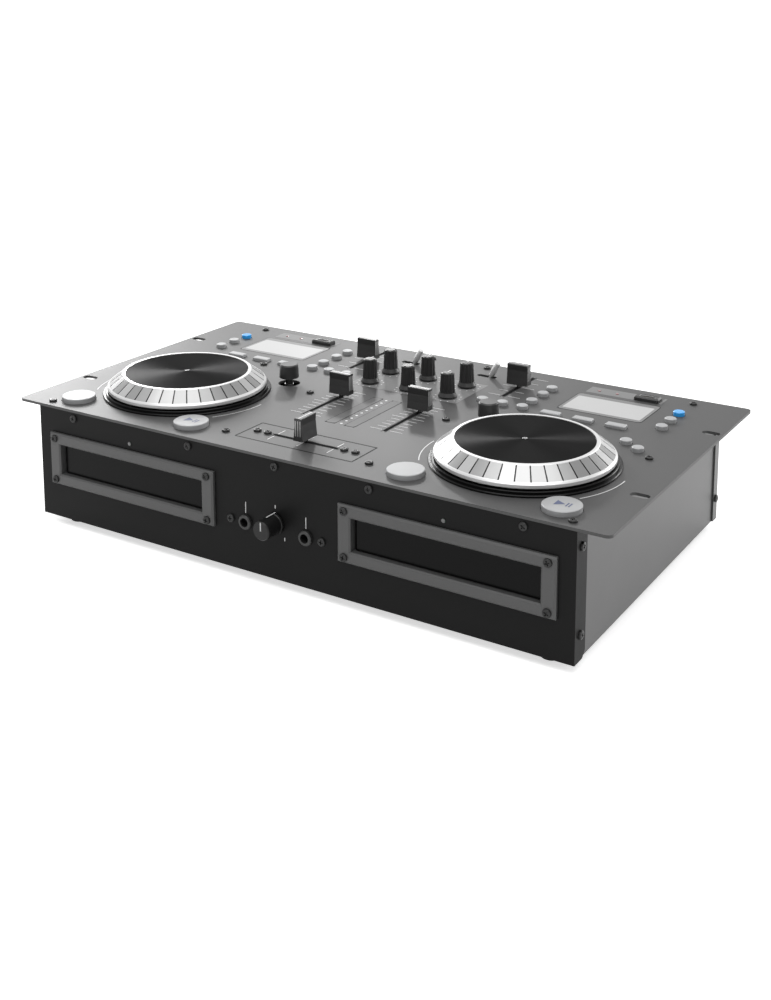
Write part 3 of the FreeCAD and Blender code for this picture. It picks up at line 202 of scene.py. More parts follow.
def makeFinishGroup():
    group, given, result = newGroup(
        "surfaceFinish",
        {"Color": "Color", "Roughness": 0.4, "Grain Scale": 1500.0, "Grain Height": 0.1, "Grain Tint": 0.05,
         "Blotch": 0.06},
        {"Color": "Color", "Roughness": "Float", "Normal": "Vector"})
    link = group.links.new
    place = addNode(group, "ShaderNodeTexCoord")
    grain = addNode(group, "ShaderNodeTexNoise")
    grain.inputs["Detail"].default_value = surfaceLook["grainDetail"]
    link(place.outputs["Object"], grain.inputs["Vector"])
    link(given["Grain Scale"], grain.inputs["Scale"])
    blotch = addNode(group, "ShaderNodeTexNoise")
    blotch.inputs["Scale"].default_value = surfaceLook["blotchScale"]
    blotch.inputs["Detail"].default_value = surfaceLook["blotchDetail"]
    link(place.outputs["Object"], blotch.inputs["Vector"])
    spread = compute(group, "SUBTRACT", blotch.outputs["Fac"], 0.5)
    amount = compute(group, "MULTIPLY", spread, given["Blotch"])
    link(compute(group, "ADD", given["Roughness"], amount, use_clamp=True), result["Roughness"])
    speck = compute(group, "SUBTRACT", grain.outputs["Fac"], 0.5)
    tinted = addNode(group, "ShaderNodeVectorMath", operation="SCALE")
    link(given["Color"], tinted.inputs[0])
    link(compute(group, "MULTIPLY_ADD", speck, given["Grain Tint"], 1.0), tinted.inputs["Scale"])
    link(tinted.outputs[0], result["Color"])
    bump = addNode(group, "ShaderNodeBump")
    bump.inputs["Distance"].default_value = surfaceLook["bumpDistance"] * mm
    link(grain.outputs["Fac"], bump.inputs["Height"])
    link(given["Grain Height"], bump.inputs["Strength"])
    link(bump.outputs["Normal"], result["Normal"])
    return group


finishGroup = makeFinishGroup()


def finishMaterial(name, color, roughness, scale, height, tint=surfaceLook["grainTint"], **sockets):
    material, tree, shader = newMaterial(name, **sockets)
    finish = addNode(tree, "ShaderNodeGroup", node_tree=finishGroup, name="finish")
    for socket, value in (("Color", color), ("Roughness", roughness), ("Grain Scale", scale),
                          ("Grain Height", height), ("Grain Tint", tint), ("Blotch", surfaceLook["blotch"])):
        finish.inputs[socket].default_value = value
    tree.links.new(finish.outputs["Color"], shader.inputs["Base Color"])
    tree.links.new(finish.outputs["Roughness"], shader.inputs["Roughness"])
    tree.links.new(finish.outputs["Normal"], shader.inputs["Normal"])
    return material


def makeRibGroup():
    # a ring of ribs about an upright axis: a mask of the grooves between them, which are given painted shade,
    # and a random tone for each rib, which paints the differing reflections of the ribs
    group, given, result = newGroup("ringOfRibs", {"Around": "Vector", "Ribs": 36.0, "Groove": 0.07},
                                    {"Groove": "Float", "Tone": "Float"})
    parts = addNode(group, "ShaderNodeSeparateXYZ")
    group.links.new(given["Around"], parts.inputs[0])
    angle = compute(group, "ARCTAN2", parts.outputs["Y"], parts.outputs["X"])
    count = compute(group, "MULTIPLY", compute(group, "DIVIDE", angle, 2 * math.pi), given["Ribs"])
    away = compute(group, "ABSOLUTE", compute(group, "SUBTRACT", count, compute(group, "ROUND", count)))
    group.links.new(compute(group, "LESS_THAN", away, given["Groove"]), result["Groove"])
    tone = addNode(group, "ShaderNodeTexWhiteNoise", noise_dimensions="1D")
    group.links.new(compute(group, "FLOOR", count), tone.inputs["W"])
    group.links.new(tone.outputs["Value"], result["Tone"])
    return group


ribGroup = makeRibGroup()

# silver jog wheel: rim and lip are bright; the ribs of the cone between them differ in tone as painted
# reflection, and the grooves between the ribs are dark as painted shade; the lowest and highest rib tones are
# shares of the cone's level
jogLook = {"rim": 0.7, "cone": 0.54, "groove": 0.02, "darkRib": 0.42, "lightRib": 1.1, "ribs": 36,
           "grooveShare": 0.05, "rimRadius": 49.4, "rimBlend": 0.3, "lipRadius": 59.3, "roughness": 0.34,
           "metallic": 0.5, "grainScale": 900, "grain": 0.05}


def makeJogSilver(name, centre):
    material = finishMaterial(name, grey(jogLook["cone"]), jogLook["roughness"], jogLook["grainScale"],
                              jogLook["grain"], tint=jogLook["grain"], Metallic=jogLook["metallic"])
    tree = material.node_tree
    offset = offsetFrom(tree, centre)
    radius = lengthOf(tree, offset)
    ribs = addNode(tree, "ShaderNodeGroup", node_tree=ribGroup)
    ribs.inputs["Ribs"].default_value = jogLook["ribs"]
    ribs.inputs["Groove"].default_value = jogLook["grooveShare"]
    tree.links.new(offset, ribs.inputs["Around"])
    # painted reflection: each rib of the cone gets its own random tone, lighter or darker
    tones = twoTones(tree, ribs.outputs["Tone"], jogLook["cone"] * jogLook["darkRib"],
                     jogLook["cone"] * jogLook["lightRib"])
    # painted shade: the grooves between the ribs are given a near-black colour
    cone = mixColors(tree, ribs.outputs["Groove"], tones, grey(jogLook["groove"]))
    onLip = compute(tree, "GREATER_THAN", radius, jogLook["lipRadius"] * mm)
    lipped = mixColors(tree, onLip, cone, grey(jogLook["rim"]))
    pastRim = mapRange(tree, radius, jogLook["rimRadius"] * mm,
                       (jogLook["rimRadius"] + jogLook["rimBlend"]) * mm)
    rimmed = mixColors(tree, pastRim, grey(jogLook["rim"]), lipped)
    tree.links.new(rimmed, tree.nodes["finish"].inputs["Color"])
    return material


# turned plate: fine rings, highlights that fan out from the middle, and a pale dot in the middle
plateLook = {"ringScale": 5200.0, "ringDetail": 2.0, "darkRing": 0.005, "lightRing": 0.05, "relief": 0.12,
             "dot": 0.4, "dotRadius": 1.7, "roughness": 0.3, "anisotropic": 0.95, "turn": 0.25, "gloss": 0.45}


def makeSpunBlack(name, centre):
    material, tree, shader = newMaterial(name, Metallic=1.0, Roughness=plateLook["roughness"],
                                         Anisotropic=plateLook["anisotropic"],
                                         Anisotropic_Rotation=plateLook["turn"],
                                         Specular_Tint=grey(plateLook["gloss"]))
    radius = lengthOf(tree, offsetFrom(tree, centre))
    rings = addNode(tree, "ShaderNodeTexNoise", noise_dimensions="1D")
    rings.inputs["Scale"].default_value = plateLook["ringScale"]
    rings.inputs["Detail"].default_value = plateLook["ringDetail"]
    tree.links.new(radius, rings.inputs["W"])
    tones = twoTones(tree, rings.outputs["Fac"], plateLook["darkRing"], plateLook["lightRing"])
    inDot = compute(tree, "LESS_THAN", radius, plateLook["dotRadius"] * mm)
    tree.links.new(mixColors(tree, inDot, tones, grey(plateLook["dot"])), shader.inputs["Base Color"])
    bump = addNode(tree, "ShaderNodeBump")
    bump.inputs["Strength"].default_value = plateLook["relief"]
    bump.inputs["Distance"].default_value = surfaceLook["bumpDistance"] * mm
    tree.links.new(rings.outputs["Fac"], bump.inputs["Height"])
    tree.links.new(bump.outputs["Normal"], shader.inputs["Normal"])
    tangent = addNode(tree, "ShaderNodeTangent", direction_type="RADIAL", axis="Z")
    tree.links.new(tangent.outputs["Tangent"], shader.inputs["Tangent"])
    return material


# one row for each finish: colour, roughness, grain scale, grain height, extra sockets
finishes = {
    "panelPaint": (grey(0.05), 0.5, 1700, 0.22, {}),
    "frontPaint": (grey(0.008), 0.45, 1700, 0.15, {"Specular_IOR_Level": 0.1}),
    "casePaint": (grey(0.05), 0.4, 1700, 0.2, {"Specular_IOR_Level": 0.7}),
    "footRubber": (grey(0.02), 0.8, 900, 0.4, {}),
    "screwBlack": (grey(0.03), 0.38, 2500, 0.1, {"Metallic": 0.7}),
    "platedSteel": (grey(0.55), 0.3, 1500, 0.1, {"Metallic": 1.0}),
    "boardGreen": ((0.012, 0.07, 0.03, 1.0), 0.35, 900, 0.1, {}),
    "loaderPlastic": (grey(0.03), 0.5, 1300, 0.2, {}),
    "trayBlack": (grey(0.002), 0.22, 1000, 0.02, {"Specular_IOR_Level": 0.1}),
    "bezelPlastic": (grey(0.075), 0.45, 1300, 0.35, {}),
    "glossBlack": (grey(0.003), 0.25, 1000, 0.0, {"Specular_IOR_Level": 0.15}),
    "socketPlastic": (grey(0.018), 0.42, 1500, 0.15, {}),
    "usbWhite": ((0.55, 0.52, 0.46, 1.0), 0.4, 1500, 0.1, {}),
    "rcaPlated": ((0.7, 0.6, 0.42, 1.0), 0.22, 1200, 0.05, {"Metallic": 1.0}),
    "lensPlastic": (grey(0.2), 0.2, 1200, 0.0, {}),
    "meterGlass": (grey(0.065), 0.52, 1200, 0.0, {"Specular_IOR_Level": 0.45}),
    "screenBand": (grey(0.2), 0.45, 900, 0.02, {"Specular_IOR_Level": 0.3}),
    "screenGrey": (grey(0.52), 0.45, 900, 0.02, {"Specular_IOR_Level": 0.3}),
    "lampRed": ((0.22, 0.012, 0.012, 1.0), 0.2, 1500, 0.1, {"Coat_Weight": 1.0}),
    "lampDark": (grey(0.05), 0.2, 1500, 0.1, {"Coat_Weight": 1.0}),
    "knobRubber": (grey(0.014), 0.4, 1500, 0.25, {}),
    "knobBlack": (grey(0.006), 0.4, 1500, 0.2, {"Specular_IOR_Level": 0.3}),
    "capPlastic": (grey(0.022), 0.36, 1500, 0.25, {}),
    # pale grey of the caps' grip ribs: a painted highlight
    "capEdge": (grey(0.5), 0.25, 1500, 0.05, {}),
    # the levers are chrome; their pale colour with little metal paints part of their bright reflection
    "leverChromeSheen": (grey(0.85), 0.2, 900, 0.02, {"Metallic": 0.45}),
    "buttonSilver": (grey(0.42, (0.98, 0.99, 1.0)), 0.5, 1200, 0.06,
                     {"Metallic": 0.2, "Specular_IOR_Level": 0.3}),
    "buttonBlue": ((0.03, 0.4, 0.95, 1.0), 0.25, 1200, 0.05, {"Coat_Weight": 0.4}),
    "printWhite": (grey(0.72), 0.5, 1500, 0.1, {}),
    "printSilver": (grey(0.2), 0.55, 1500, 0.1, {"Specular_IOR_Level": 0.3}),
    "printDark": (grey(0.003), 0.6, 1500, 0.1, {"Specular_IOR_Level": 0.15}),
    "printBlue": ((0.09, 0.11, 0.2, 1.0), 0.45, 1500, 0.1, {}),
}
materials = {}
for name, (color, roughness, scale, height, sockets) in finishes.items():
    materials[name] = finishMaterial(name, color, roughness, scale, height, **sockets)
for deck in decks:
    materials["jogSilver_" + deck] = makeJogSilver("jogSilver_" + deck, jogCentre(deck))
    materials["spunBlack_" + deck] = makeSpunBlack("spunBlack_" + deck, jogCentre(deck))
print("materials made:", len(materials))

# which finish each CAD node wears
wears = {
    "top_panel": "panelPaint", "front_panel": "frontPaint", "rear_panel": "casePaint",
    "chassis_pan": "casePaint", "rubber_feet": "footRubber", "case_screws": "screwBlack",
    "display_windows": "lensPlastic", "usb_sockets": "socketPlastic", "fader_tracks": "socketPlastic",
    "potentiometers": "platedSteel", "control_boards": "boardGreen", "tray_bezels": "bezelPlastic",
    "front_jacks": "socketPlastic", "rca_sockets": "rcaPlated", "mains_inlet": "socketPlastic",
    "power_supply": "boardGreen", "crossfader": "capPlastic", "power_rocker": "glossBlack",
    "cue_mix_knob": "knobBlack",
}
# the nodes that there are several of, by the start of their names; a finish that ends in _ is the deck's own
wearsByStart = {
    "jog_base_": "glossBlack", "jog_wheel_": "jogSilver_", "jog_plate_": "spunBlack_",
    "disc_tray_": "trayBlack", "loader_frame_": "loaderPlastic", "spindle_": "loaderPlastic",
    "channel_fader_": "capPlastic", "pitch_fader_": "capPlastic", "source_lever_": "leverChromeSheen",
    "cue_button_": "buttonSilver", "play_button_": "buttonSilver", "eject_button_": "buttonBlue",
    "small_keys_": "buttonSilver", "browse_knob_": "knobRubber", "track_key_": "buttonSilver",
    "mixer_knob_": "knobRubber",
}


def finishOf(node):
    if node in wears:
        return wears[node]
    finish = [wearsByStart[start] for start in wearsByStart if node.startswith(start)][0]
    return finish + node[-1] if finish.endswith("_") else finish


for node, piece in nodes.items():
    piece.data.materials.clear()
    piece.data.materials.append(materials[finishOf(node)])
print("frame dressed")


# modelling helpers
edgeSteps = 2  # faces across a rounded edge
smoothBelow = math.radians(35)


def selectOnly(*pieces):
    bpy.ops.object.select_all(action="DESELECT")
    for piece in pieces:
        piece.select_set(True)
    bpy.context.view_layer.objects.active = pieces[0]


def settle(piece):
    selectOnly(piece)
    bpy.ops.object.transform_apply(location=True, rotation=True, scale=True)


def applyAll(piece):
    selectOnly(piece)
    for modifier in list(piece.modifiers):
        bpy.ops.object.modifier_apply(modifier=modifier.name)


def roundEdges(piece, width):
    modifier = piece.modifiers.new("edges", "BEVEL")
    modifier.width = width * mm
    modifier.segments = edgeSteps
    modifier.limit_method = "ANGLE"
    applyAll(piece)


def slab(place, size, turn=(0.0, 0.0, 0.0), edge=0.0):
    bpy.ops.object.select_all(action="DESELECT")
    bpy.ops.mesh.primitive_cube_add(size=1.0, location=place, rotation=turn)
    piece = bpy.context.object
    piece.scale = (size[0] * mm, size[1] * mm, size[2] * mm)
    settle(piece)
    if edge:
        roundEdges(piece, edge)
    return piece


def disc(place, radius, thickness, sides, turn=(0.0, 0.0, 0.0), edge=0.0):
    bpy.ops.object.select_all(action="DESELECT")
    bpy.ops.mesh.primitive_cylinder_add(vertices=sides, radius=radius * mm, depth=thickness * mm,
                                        location=place, rotation=turn)
    piece = bpy.context.object
    settle(piece)
    if edge:
        roundEdges(piece, edge)
    return piece


def finishPiece(pieces, name, body, finish):
    selectOnly(*pieces)
    if len(pieces) > 1:
        bpy.ops.object.join()
    piece = bpy.context.object
    piece.name = name
    settle(piece)
    bpy.ops.object.mode_set(mode="EDIT")
    bpy.ops.mesh.select_all(action="SELECT")
    bpy.ops.mesh.normals_make_consistent(inside=False)
    bpy.ops.object.mode_set(mode="OBJECT")
    bpy.ops.object.shade_smooth_by_angle(angle=smoothBelow)
    piece.data.materials.clear()
    piece.data.materials.append(materials[finish])
    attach(piece, body)
    return piece


# printed marks on the panel
ink = {"lift": 0.03, "thick": 0.05}


def printed(x, depth, width, length):
    return slab(onPanel(x, depth, ink["lift"]), (width, length, ink["thick"]))


faderMarks = {"channelTicks": 11, "channelTravel": 60.0, "pitchTicks": 5, "pitchTravel": 50.0, "gap": 3.4,
              "length": 7.4, "longer": 1.35, "width": 0.45}
crossMarks = {"across": (-25.0, 0.0, 25.0), "away": 6.4, "size": (0.6, 8.0)}


def makeFaderMarks():
    # ticks on both sides of each slot, longer at the ends and in the middle
    lines = []
    for kind in ("channel", "pitch"):
        ticks, travel = faderMarks[kind + "Ticks"], faderMarks[kind + "Travel"]
        for deck in decks:
            node = "%s_fader_%s" % (kind, deck)
            rest = middleOf(node)
            middle = depthOf(rest) + slideOf(node)[0]
            for number in range(ticks):
                depth = middle + travel * (number / (ticks - 1) - 0.5)
                isLong = number in (0, ticks // 2, ticks - 1)
                reach = faderMarks["length"] * (faderMarks["longer"] if isLong else 1.0)
                for hand in (-1, 1):
                    x = rest.x / mm + hand * (faderMarks["gap"] + reach / 2)
                    lines.append(printed(x, depth, reach, faderMarks["width"]))
    slot = depthOf(middleOf("crossfader"))
    for x in crossMarks["across"]:
        for hand in (-1, 1):
            lines.append(printed(x, slot + hand * crossMarks["away"], *crossMarks["size"]))
    finishPiece(lines, "faderMarks", "case", "printWhite")


slotShade = {"half": 1.2, "line": 0.7, "past": 4.2}


def makeSlotShades():
    # painted shade: a dark line on both sides of each fader's slot, which widens the slot's dark opening
    lines = []
    line = slotShade["line"]
    away = slotShade["half"] + line / 2
    for node in faders:
        x, depth = middleOf(node).x / mm, depthOf(middleOf(node))
        middle, travel = slideOf(node)
        length = travel + slotShade["past"] * 2
        for hand in (-1, 1):
            if node == "crossfader":
                lines.append(printed(x + middle, depth + hand * away, length, line))
            else:
                lines.append(printed(x + hand * away, depth + middle, line, length))
    finishPiece(lines, "slotEdges", "case", "printDark")


outline = {"half": 48.8, "front": 20.2, "back": 51.4, "line": 1.1}


def makeCrossfaderOutline():
    middle = (outline["front"] + outline["back"]) / 2
    length = outline["back"] - outline["front"]
    lines = [printed(hand * outline["half"], middle, outline["line"], length) for hand in (-1, 1)]
    for depth in (outline["front"], outline["back"]):
        lines.append(printed(0, depth, outline["half"] * 2, outline["line"]))
    finishPiece(lines, "crossfaderOutline", "case", "printDark")


knobField = {"half": 48.0, "front": 162.0, "back": 214.0}


def makeKnobField():
    middle = (knobField["front"] + knobField["back"]) / 2
    plate = printed(0, middle, knobField["half"] * 2, knobField["back"] - knobField["front"])
    finishPiece([plate], "knobField", "case", "printSilver")


knobDots = {"count": 11, "start": -240, "step": 30, "ring": 10.4, "radius": 0.6, "thick": 0.08, "lift": 0.1,
            "sides": 12}


def makeKnobDots():
    # dots round each mixer knob, all but at its back
    dots = []
    for node in mixerKnobs:
        centre = middleOf(node)
        for number in range(knobDots["count"]):
            angle = math.radians(knobDots["start"] + knobDots["step"] * number)
            place = Vector((centre.x + knobDots["ring"] * mm * math.cos(angle),
                            centre.y + knobDots["ring"] * mm * math.sin(angle),
                            panelTop + knobDots["lift"] * mm))
            dots.append(disc(place, knobDots["radius"], knobDots["thick"], knobDots["sides"]))
    finishPiece(dots, "knobDots", "case", "printWhite")


jogArcs = {"radius": 70.3, "width": 0.7, "lift": 0.05, "spans": ((179, 211), (325, 361)), "steps": 40,
           "strip": 0.02, "mergeStrip": 0.05, "mergeArc": 0.01}


def makeArc(centre, startAngle, endAngle):
    # a thin strip, merged to one line, is spun round the jog's axis
    bpy.ops.object.select_all(action="DESELECT")
    start = Vector((math.cos(startAngle), math.sin(startAngle), 0)) * jogArcs["radius"] * mm
    bpy.ops.mesh.primitive_plane_add(size=1.0, location=(0, 0, 0))
    piece = bpy.context.object
    piece.scale = (jogArcs["width"] * mm, jogArcs["strip"] * mm, 1.0)
    piece.rotation_euler = (0, 0, startAngle)
    piece.location = centre + start + Vector((0, 0, jogArcs["lift"] * mm))
    settle(piece)
    bpy.ops.object.mode_set(mode="EDIT")
    bpy.ops.mesh.select_all(action="SELECT")
    bpy.ops.mesh.delete(type="ONLY_FACE")
    bpy.ops.mesh.select_all(action="SELECT")
    bpy.ops.mesh.remove_doubles(threshold=jogArcs["mergeStrip"] * mm)
    bpy.ops.mesh.select_all(action="SELECT")
    # mesh.spin turns the other way, so its angle is negative
    bpy.ops.mesh.spin(steps=jogArcs["steps"], angle=startAngle - endAngle, center=centre, axis=(0, 0, 1))
    bpy.ops.mesh.select_all(action="SELECT")
    bpy.ops.mesh.remove_doubles(threshold=jogArcs["mergeArc"] * mm)
    bpy.ops.mesh.normals_make_consistent(inside=False)
    bpy.ops.object.mode_set(mode="OBJECT")
    return piece


def makeJogArcs():
    arcs = []
    for deck in decks:
        centre = jogCentre(deck)
        centre.z = panelTop
        for start, end in jogArcs["spans"]:
            arcs.append(makeArc(centre, math.radians(start), math.radians(end)))
    finishPiece(arcs, "jogArcs", "case", "printWhite")


# media socket: across from the display's middle, depth from the panel's front edge
usb = {"across": 18.4, "depth": 244.9, "half": 6.2, "halfDepth": 2.4, "shellLift": 1.4, "shellHeight": 3.4,
       "sheet": 0.4, "shellEdge": 0.1, "tongue": (11.0, 1.4, 9.0), "tongueLift": -3.3, "tongueEdge": 0.2}
labelStrip = {"half": 30.5, "front": 240.8, "back": 255.0, "gap": 10.2}


def makeLabelStrips():
    # a pale strip on both sides of each media socket
    strips = []
    middle = (labelStrip["front"] + labelStrip["back"]) / 2
    length = labelStrip["back"] - labelStrip["front"]
    for side in decks.values():
        display = side * displayAcross
        for hand in (-1, 1):
            end = display + hand * labelStrip["half"]
            start = display + usb["across"] + hand * labelStrip["gap"]
            strips.append(printed((end + start) / 2, middle, abs(end - start), length))
    finishPiece(strips, "labelStrips", "case", "printSilver")


makeFaderMarks()
makeSlotShades()
makeCrossfaderOutline()
makeKnobField()
makeKnobDots()
makeJogArcs()
makeLabelStrips()
print("panel printed")

# displays and meters, in thin films
film = {"thick": 0.06, "cornerSteps": 5}


def makeFilm(place, width, length, corner):
    # only the upright edges are rounded, so edges are picked in edge mode
    plate = slab(place, (width, length, film["thick"]))
    bpy.ops.object.mode_set(mode="EDIT")
    bpy.ops.mesh.select_mode(type="EDGE")
    bpy.ops.mesh.select_all(action="DESELECT")
    bpy.ops.object.mode_set(mode="OBJECT")
    for edge in plate.data.edges:
        first, last = (plate.data.vertices[v].co for v in edge.vertices)
        edge.select = abs(first.z - last.z) > film["thick"] * mm / 2
    bpy.ops.object.mode_set(mode="EDIT")
    bpy.ops.mesh.bevel(offset=corner * mm, segments=film["cornerSteps"], affect="EDGES")
    bpy.ops.mesh.select_mode(type="VERT")
    bpy.ops.object.mode_set(mode="OBJECT")
    return plate


# width, length, depth of the middle, lift, corner, finish
displayLayers = {
    "displaySurrounds": (66.8, 42.4, 214.5, 0.04, 3.4, "printDark"),
    "displayBands": (65.6, 41.2, 214.5, 0.07, 3.0, "screenBand"),
    "displayScreens": (61.0, 31.0, 213.4, 0.1, 1.0, "screenGrey"),
}
meter = {"across": 8.3, "middle": 110.2, "width": 7.9, "length": 64.8, "corner": 2.0, "lift": 0.07,
         "rim": 0.45, "rimCorner": 2.4, "rimLift": 0.04}
meterMarks = {"count": 10, "reach": 60.4, "radius": 1.0, "lift": 0.05, "sides": 16}


def makeDisplays():
    for layer, (width, length, depth, lift, corner, finish) in displayLayers.items():
        films = [makeFilm(onPanel(side * displayAcross, depth, lift), width, length, corner)
                 for side in decks.values()]
        finishPiece(films, layer, "case", finish)


def makeMeters():
    # a dark rim shows round each pane, and a row of round marks between the two
    rims, panes, marks = [], [], []
    rim = meter["rim"] * 2
    for hand in (-1, 1):
        place = onPanel(hand * meter["across"], meter["middle"], meter["rimLift"])
        rims.append(makeFilm(place, meter["width"] + rim, meter["length"] + rim, meter["rimCorner"]))
    finishPiece(rims, "meterRims", "case", "printDark")
    for hand in (-1, 1):
        place = onPanel(hand * meter["across"], meter["middle"], meter["lift"])
        panes.append(makeFilm(place, meter["width"], meter["length"], meter["corner"]))
    finishPiece(panes, "meterPanes", "case", "meterGlass")
    for number in range(meterMarks["count"]):
        along = meterMarks["reach"] * (number / (meterMarks["count"] - 1) - 0.5)
        place = onPanel(0, meter["middle"] + along, meterMarks["lift"])
        marks.append(disc(place, meterMarks["radius"], film["thick"], meterMarks["sides"]))
    finishPiece(marks, "meterMarks", "case", "printWhite")


makeDisplays()
print("displays fitted")

# screws with a real cross recess
screwLook = {"radius": 2.9, "height": 1.5, "sides": 24, "crown": 0.7, "crownSteps": 3, "crossLength": 3.4,
             "crossWidth": 0.75, "crossDepth": 0.9, "spin": 0.7}


def makeScrewHead():
    # pan head standing on z = 0
    height = screwLook["height"]
    head = disc(Vector((0, 0, height * mm / 2)), screwLook["radius"], height, screwLook["sides"])
    bpy.ops.object.mode_set(mode="EDIT")
    bpy.ops.mesh.select_all(action="DESELECT")
    bpy.ops.object.mode_set(mode="OBJECT")
    for face in head.data.polygons:
        face.select = face.normal.z > 0.9
    bpy.ops.object.mode_set(mode="EDIT")
    bpy.ops.mesh.bevel(offset=screwLook["crown"] * mm, segments=screwLook["crownSteps"], affect="EDGES")
    bpy.ops.object.mode_set(mode="OBJECT")
    cross = (screwLook["crossLength"], screwLook["crossWidth"], screwLook["crossDepth"] * 2)
    for angle in (0.0, math.pi / 2):
        tool = slab((0, 0, height * mm), cross, turn=(0, 0, angle))
        cut = head.modifiers.new("recess", "BOOLEAN")
        cut.operation = "DIFFERENCE"
        cut.solver = "EXACT"
        cut.object = tool
        applyAll(head)
        bpy.data.objects.remove(tool)
    return head


# places on the left and right alike, except the row along the face's top
screwRows = {
    "panel": ((213.8, 8.0), (213.8, 129.5), (200.4, 254.3), (25.7, 254.3), (60.2, 23.8), (60.2, 126.4),
              (136.2, 167.4), (41.4, 36.0), (32.4, 36.0)),
    "jacks": (38.0, 51.2),
    "bezel": {"half": 72.8, "drop": 40.3, "rise": 15.9, "out": 3.0},
    "case": {"across": 220.0, "depths": (8.1, 254.4), "drops": (14.0, 70.0)},
    "base": {"across": 198.0, "depths": (16.0, 242.5), "height": 3.0},
    "faceTop": {"across": (-185.2, -75.2, 0.0, 75.2, 185.2), "drop": 6.7},
}


def screwPlaces():
    # seat point and the way the head looks
    up, down, front = (0.0, 0.0, 0.0), (math.pi, 0.0, 0.0), (math.pi / 2, 0.0, 0.0)
    bezel, case, base, faceTop = (screwRows[row] for row in ("bezel", "case", "base", "faceTop"))
    places = []
    for side in (-1, 1):
        for x, depth in screwRows["panel"]:
            places.append((onPanel(side * x, depth), up))
        x, drop = screwRows["jacks"]
        places.append((onFace(side * x, drop), front))
        for x in (-bezel["half"], bezel["half"]):
            for rise in (-bezel["rise"], bezel["rise"]):
                places.append((onFace(side * trayAcross + x, bezel["drop"] + rise, bezel["out"]), front))
        for depth in case["depths"]:
            for drop in case["drops"]:
                places.append((onPanel(side * case["across"], depth, -drop), (0.0, side * math.pi / 2, 0.0)))
        for depth in base["depths"]:
            seat = Vector((side * base["across"] * mm, frontEdge + depth * mm, base["height"] * mm))
            places.append((seat, down))
    for x in faceTop["across"]:
        places.append((onFace(x, faceTop["drop"]), front))
    return places


def makeScrews():
    # one head, copied to each place and turned a little further each time
    master = makeScrewHead()
    copies = []
    for number, (place, turn) in enumerate(screwPlaces()):
        copy = master.copy()
        copy.data = master.data.copy()
        bpy.context.scene.collection.objects.link(copy)
        copy.rotation_euler = turn
        copy.rotation_euler.rotate_axis("Z", number * screwLook["spin"])
        copy.location = place
        copies.append(copy)
        settle(copy)
    bpy.data.objects.remove(master)
    piece = finishPiece(copies, "screwHeads", "case", "screwBlack")
    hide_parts("case_screws")


makeScrews()
print("screws turned")

# lamps
mediaLamps = {"across": (-21.8, -7.0), "depth": 247.4, "lift": 0.15, "radius": 1.25, "thick": 0.5,
              "edge": 0.15, "sides": 20}
discLamps = {"drop": 15.6, "out": 0.2, "radius": 1.4, "thick": 0.6, "edge": 0.2, "sides": 20}


def makeLamps():
    media, trays = [], []
    look = mediaLamps
    for side in decks.values():
        for x in look["across"]:
            place = onPanel(side * displayAcross + x, look["depth"], look["lift"])
            media.append(disc(place, look["radius"], look["thick"], look["sides"], edge=look["edge"]))
    finishPiece(media, "mediaLamps", "case", "lampRed")
    look = discLamps
    for side in decks.values():
        place = onFace(side * trayAcross, look["drop"], look["out"])
        trays.append(disc(place, look["radius"], look["thick"], look["sides"], turn=(math.pi / 2, 0, 0),
                          edge=look["edge"]))
    finishPiece(trays, "discLamps", "case", "lampDark")


def makeUsbTongues():
    # a pale tongue in a bright shell of four sheets
    tongues, shells = [], []
    width, length = usb["half"] * 2, usb["halfDepth"] * 2
    for side in decks.values():
        middle = side * displayAcross + usb["across"]
        tongues.append(slab(onPanel(middle, usb["depth"], usb["tongueLift"]), usb["tongue"],
                            edge=usb["tongueEdge"]))
        for hand in (-1, 1):
            shells.append(slab(onPanel(middle, usb["depth"] + hand * usb["halfDepth"], usb["shellLift"]),
                               (width, usb["sheet"], usb["shellHeight"]), edge=usb["shellEdge"]))
            shells.append(slab(onPanel(middle + hand * usb["half"], usb["depth"], usb["shellLift"]),
                               (usb["sheet"], length, usb["shellHeight"]), edge=usb["shellEdge"]))
    finishPiece(tongues, "usbTongues", "case", "usbWhite")
    finishPiece(shells, "usbShells", "case", "platedSteel")


# marks on the moving pieces stand a little out of their surface
markOut = 0.02
faderCap = {"line": 0.9, "lineShare": 0.92, "lineThick": 0.08, "rib": (0.7, 0.3, 11.0),
            "ribsAt": (-1.9, 0.0, 1.9), "ribDrop": 7.2, "ribEdge": 0.1}


def makeFaderLines():
    # a white line across each cap's top, and grip ribs on the two sides that it points to; the ribs are pale
    # grey as a painted highlight on their edges
    for node in faders:
        low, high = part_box(node)
        centre = (low + high) / 2
        width, length = (high.x - low.x) / mm, (high.y - low.y) / mm
        line, (wide, thick, tall) = faderCap["line"], faderCap["rib"]
        turned = node == "crossfader"
        if turned:
            size = (line, length * faderCap["lineShare"], faderCap["lineThick"])
        else:
            size = (width * faderCap["lineShare"], line, faderCap["lineThick"])
        top = slab((centre.x, centre.y, high.z + markOut * mm), size)
        finishPiece([top], node + "_line", node, "printWhite")
        ribs = []
        for hand in (-1, 1):
            for across in faderCap["ribsAt"]:
                if turned:
                    x, y, size = across, hand * length / 2, (wide, thick, tall)
                else:
                    x, y, size = hand * width / 2, across, (thick, wide, tall)
                place = Vector((centre.x + x * mm, centre.y + y * mm, high.z - faderCap["ribDrop"] * mm))
                ribs.append(slab(place, size, edge=faderCap["ribEdge"]))
        # the ribs' pale finish paints the highlight on their edges
        finishPiece(ribs, node + "_ribs", node, "capEdge")


leverCap = {"radius": 2.3, "start": 8.0, "end": 21.0, "lean": 28.5, "edge": 0.7, "sides": 28}


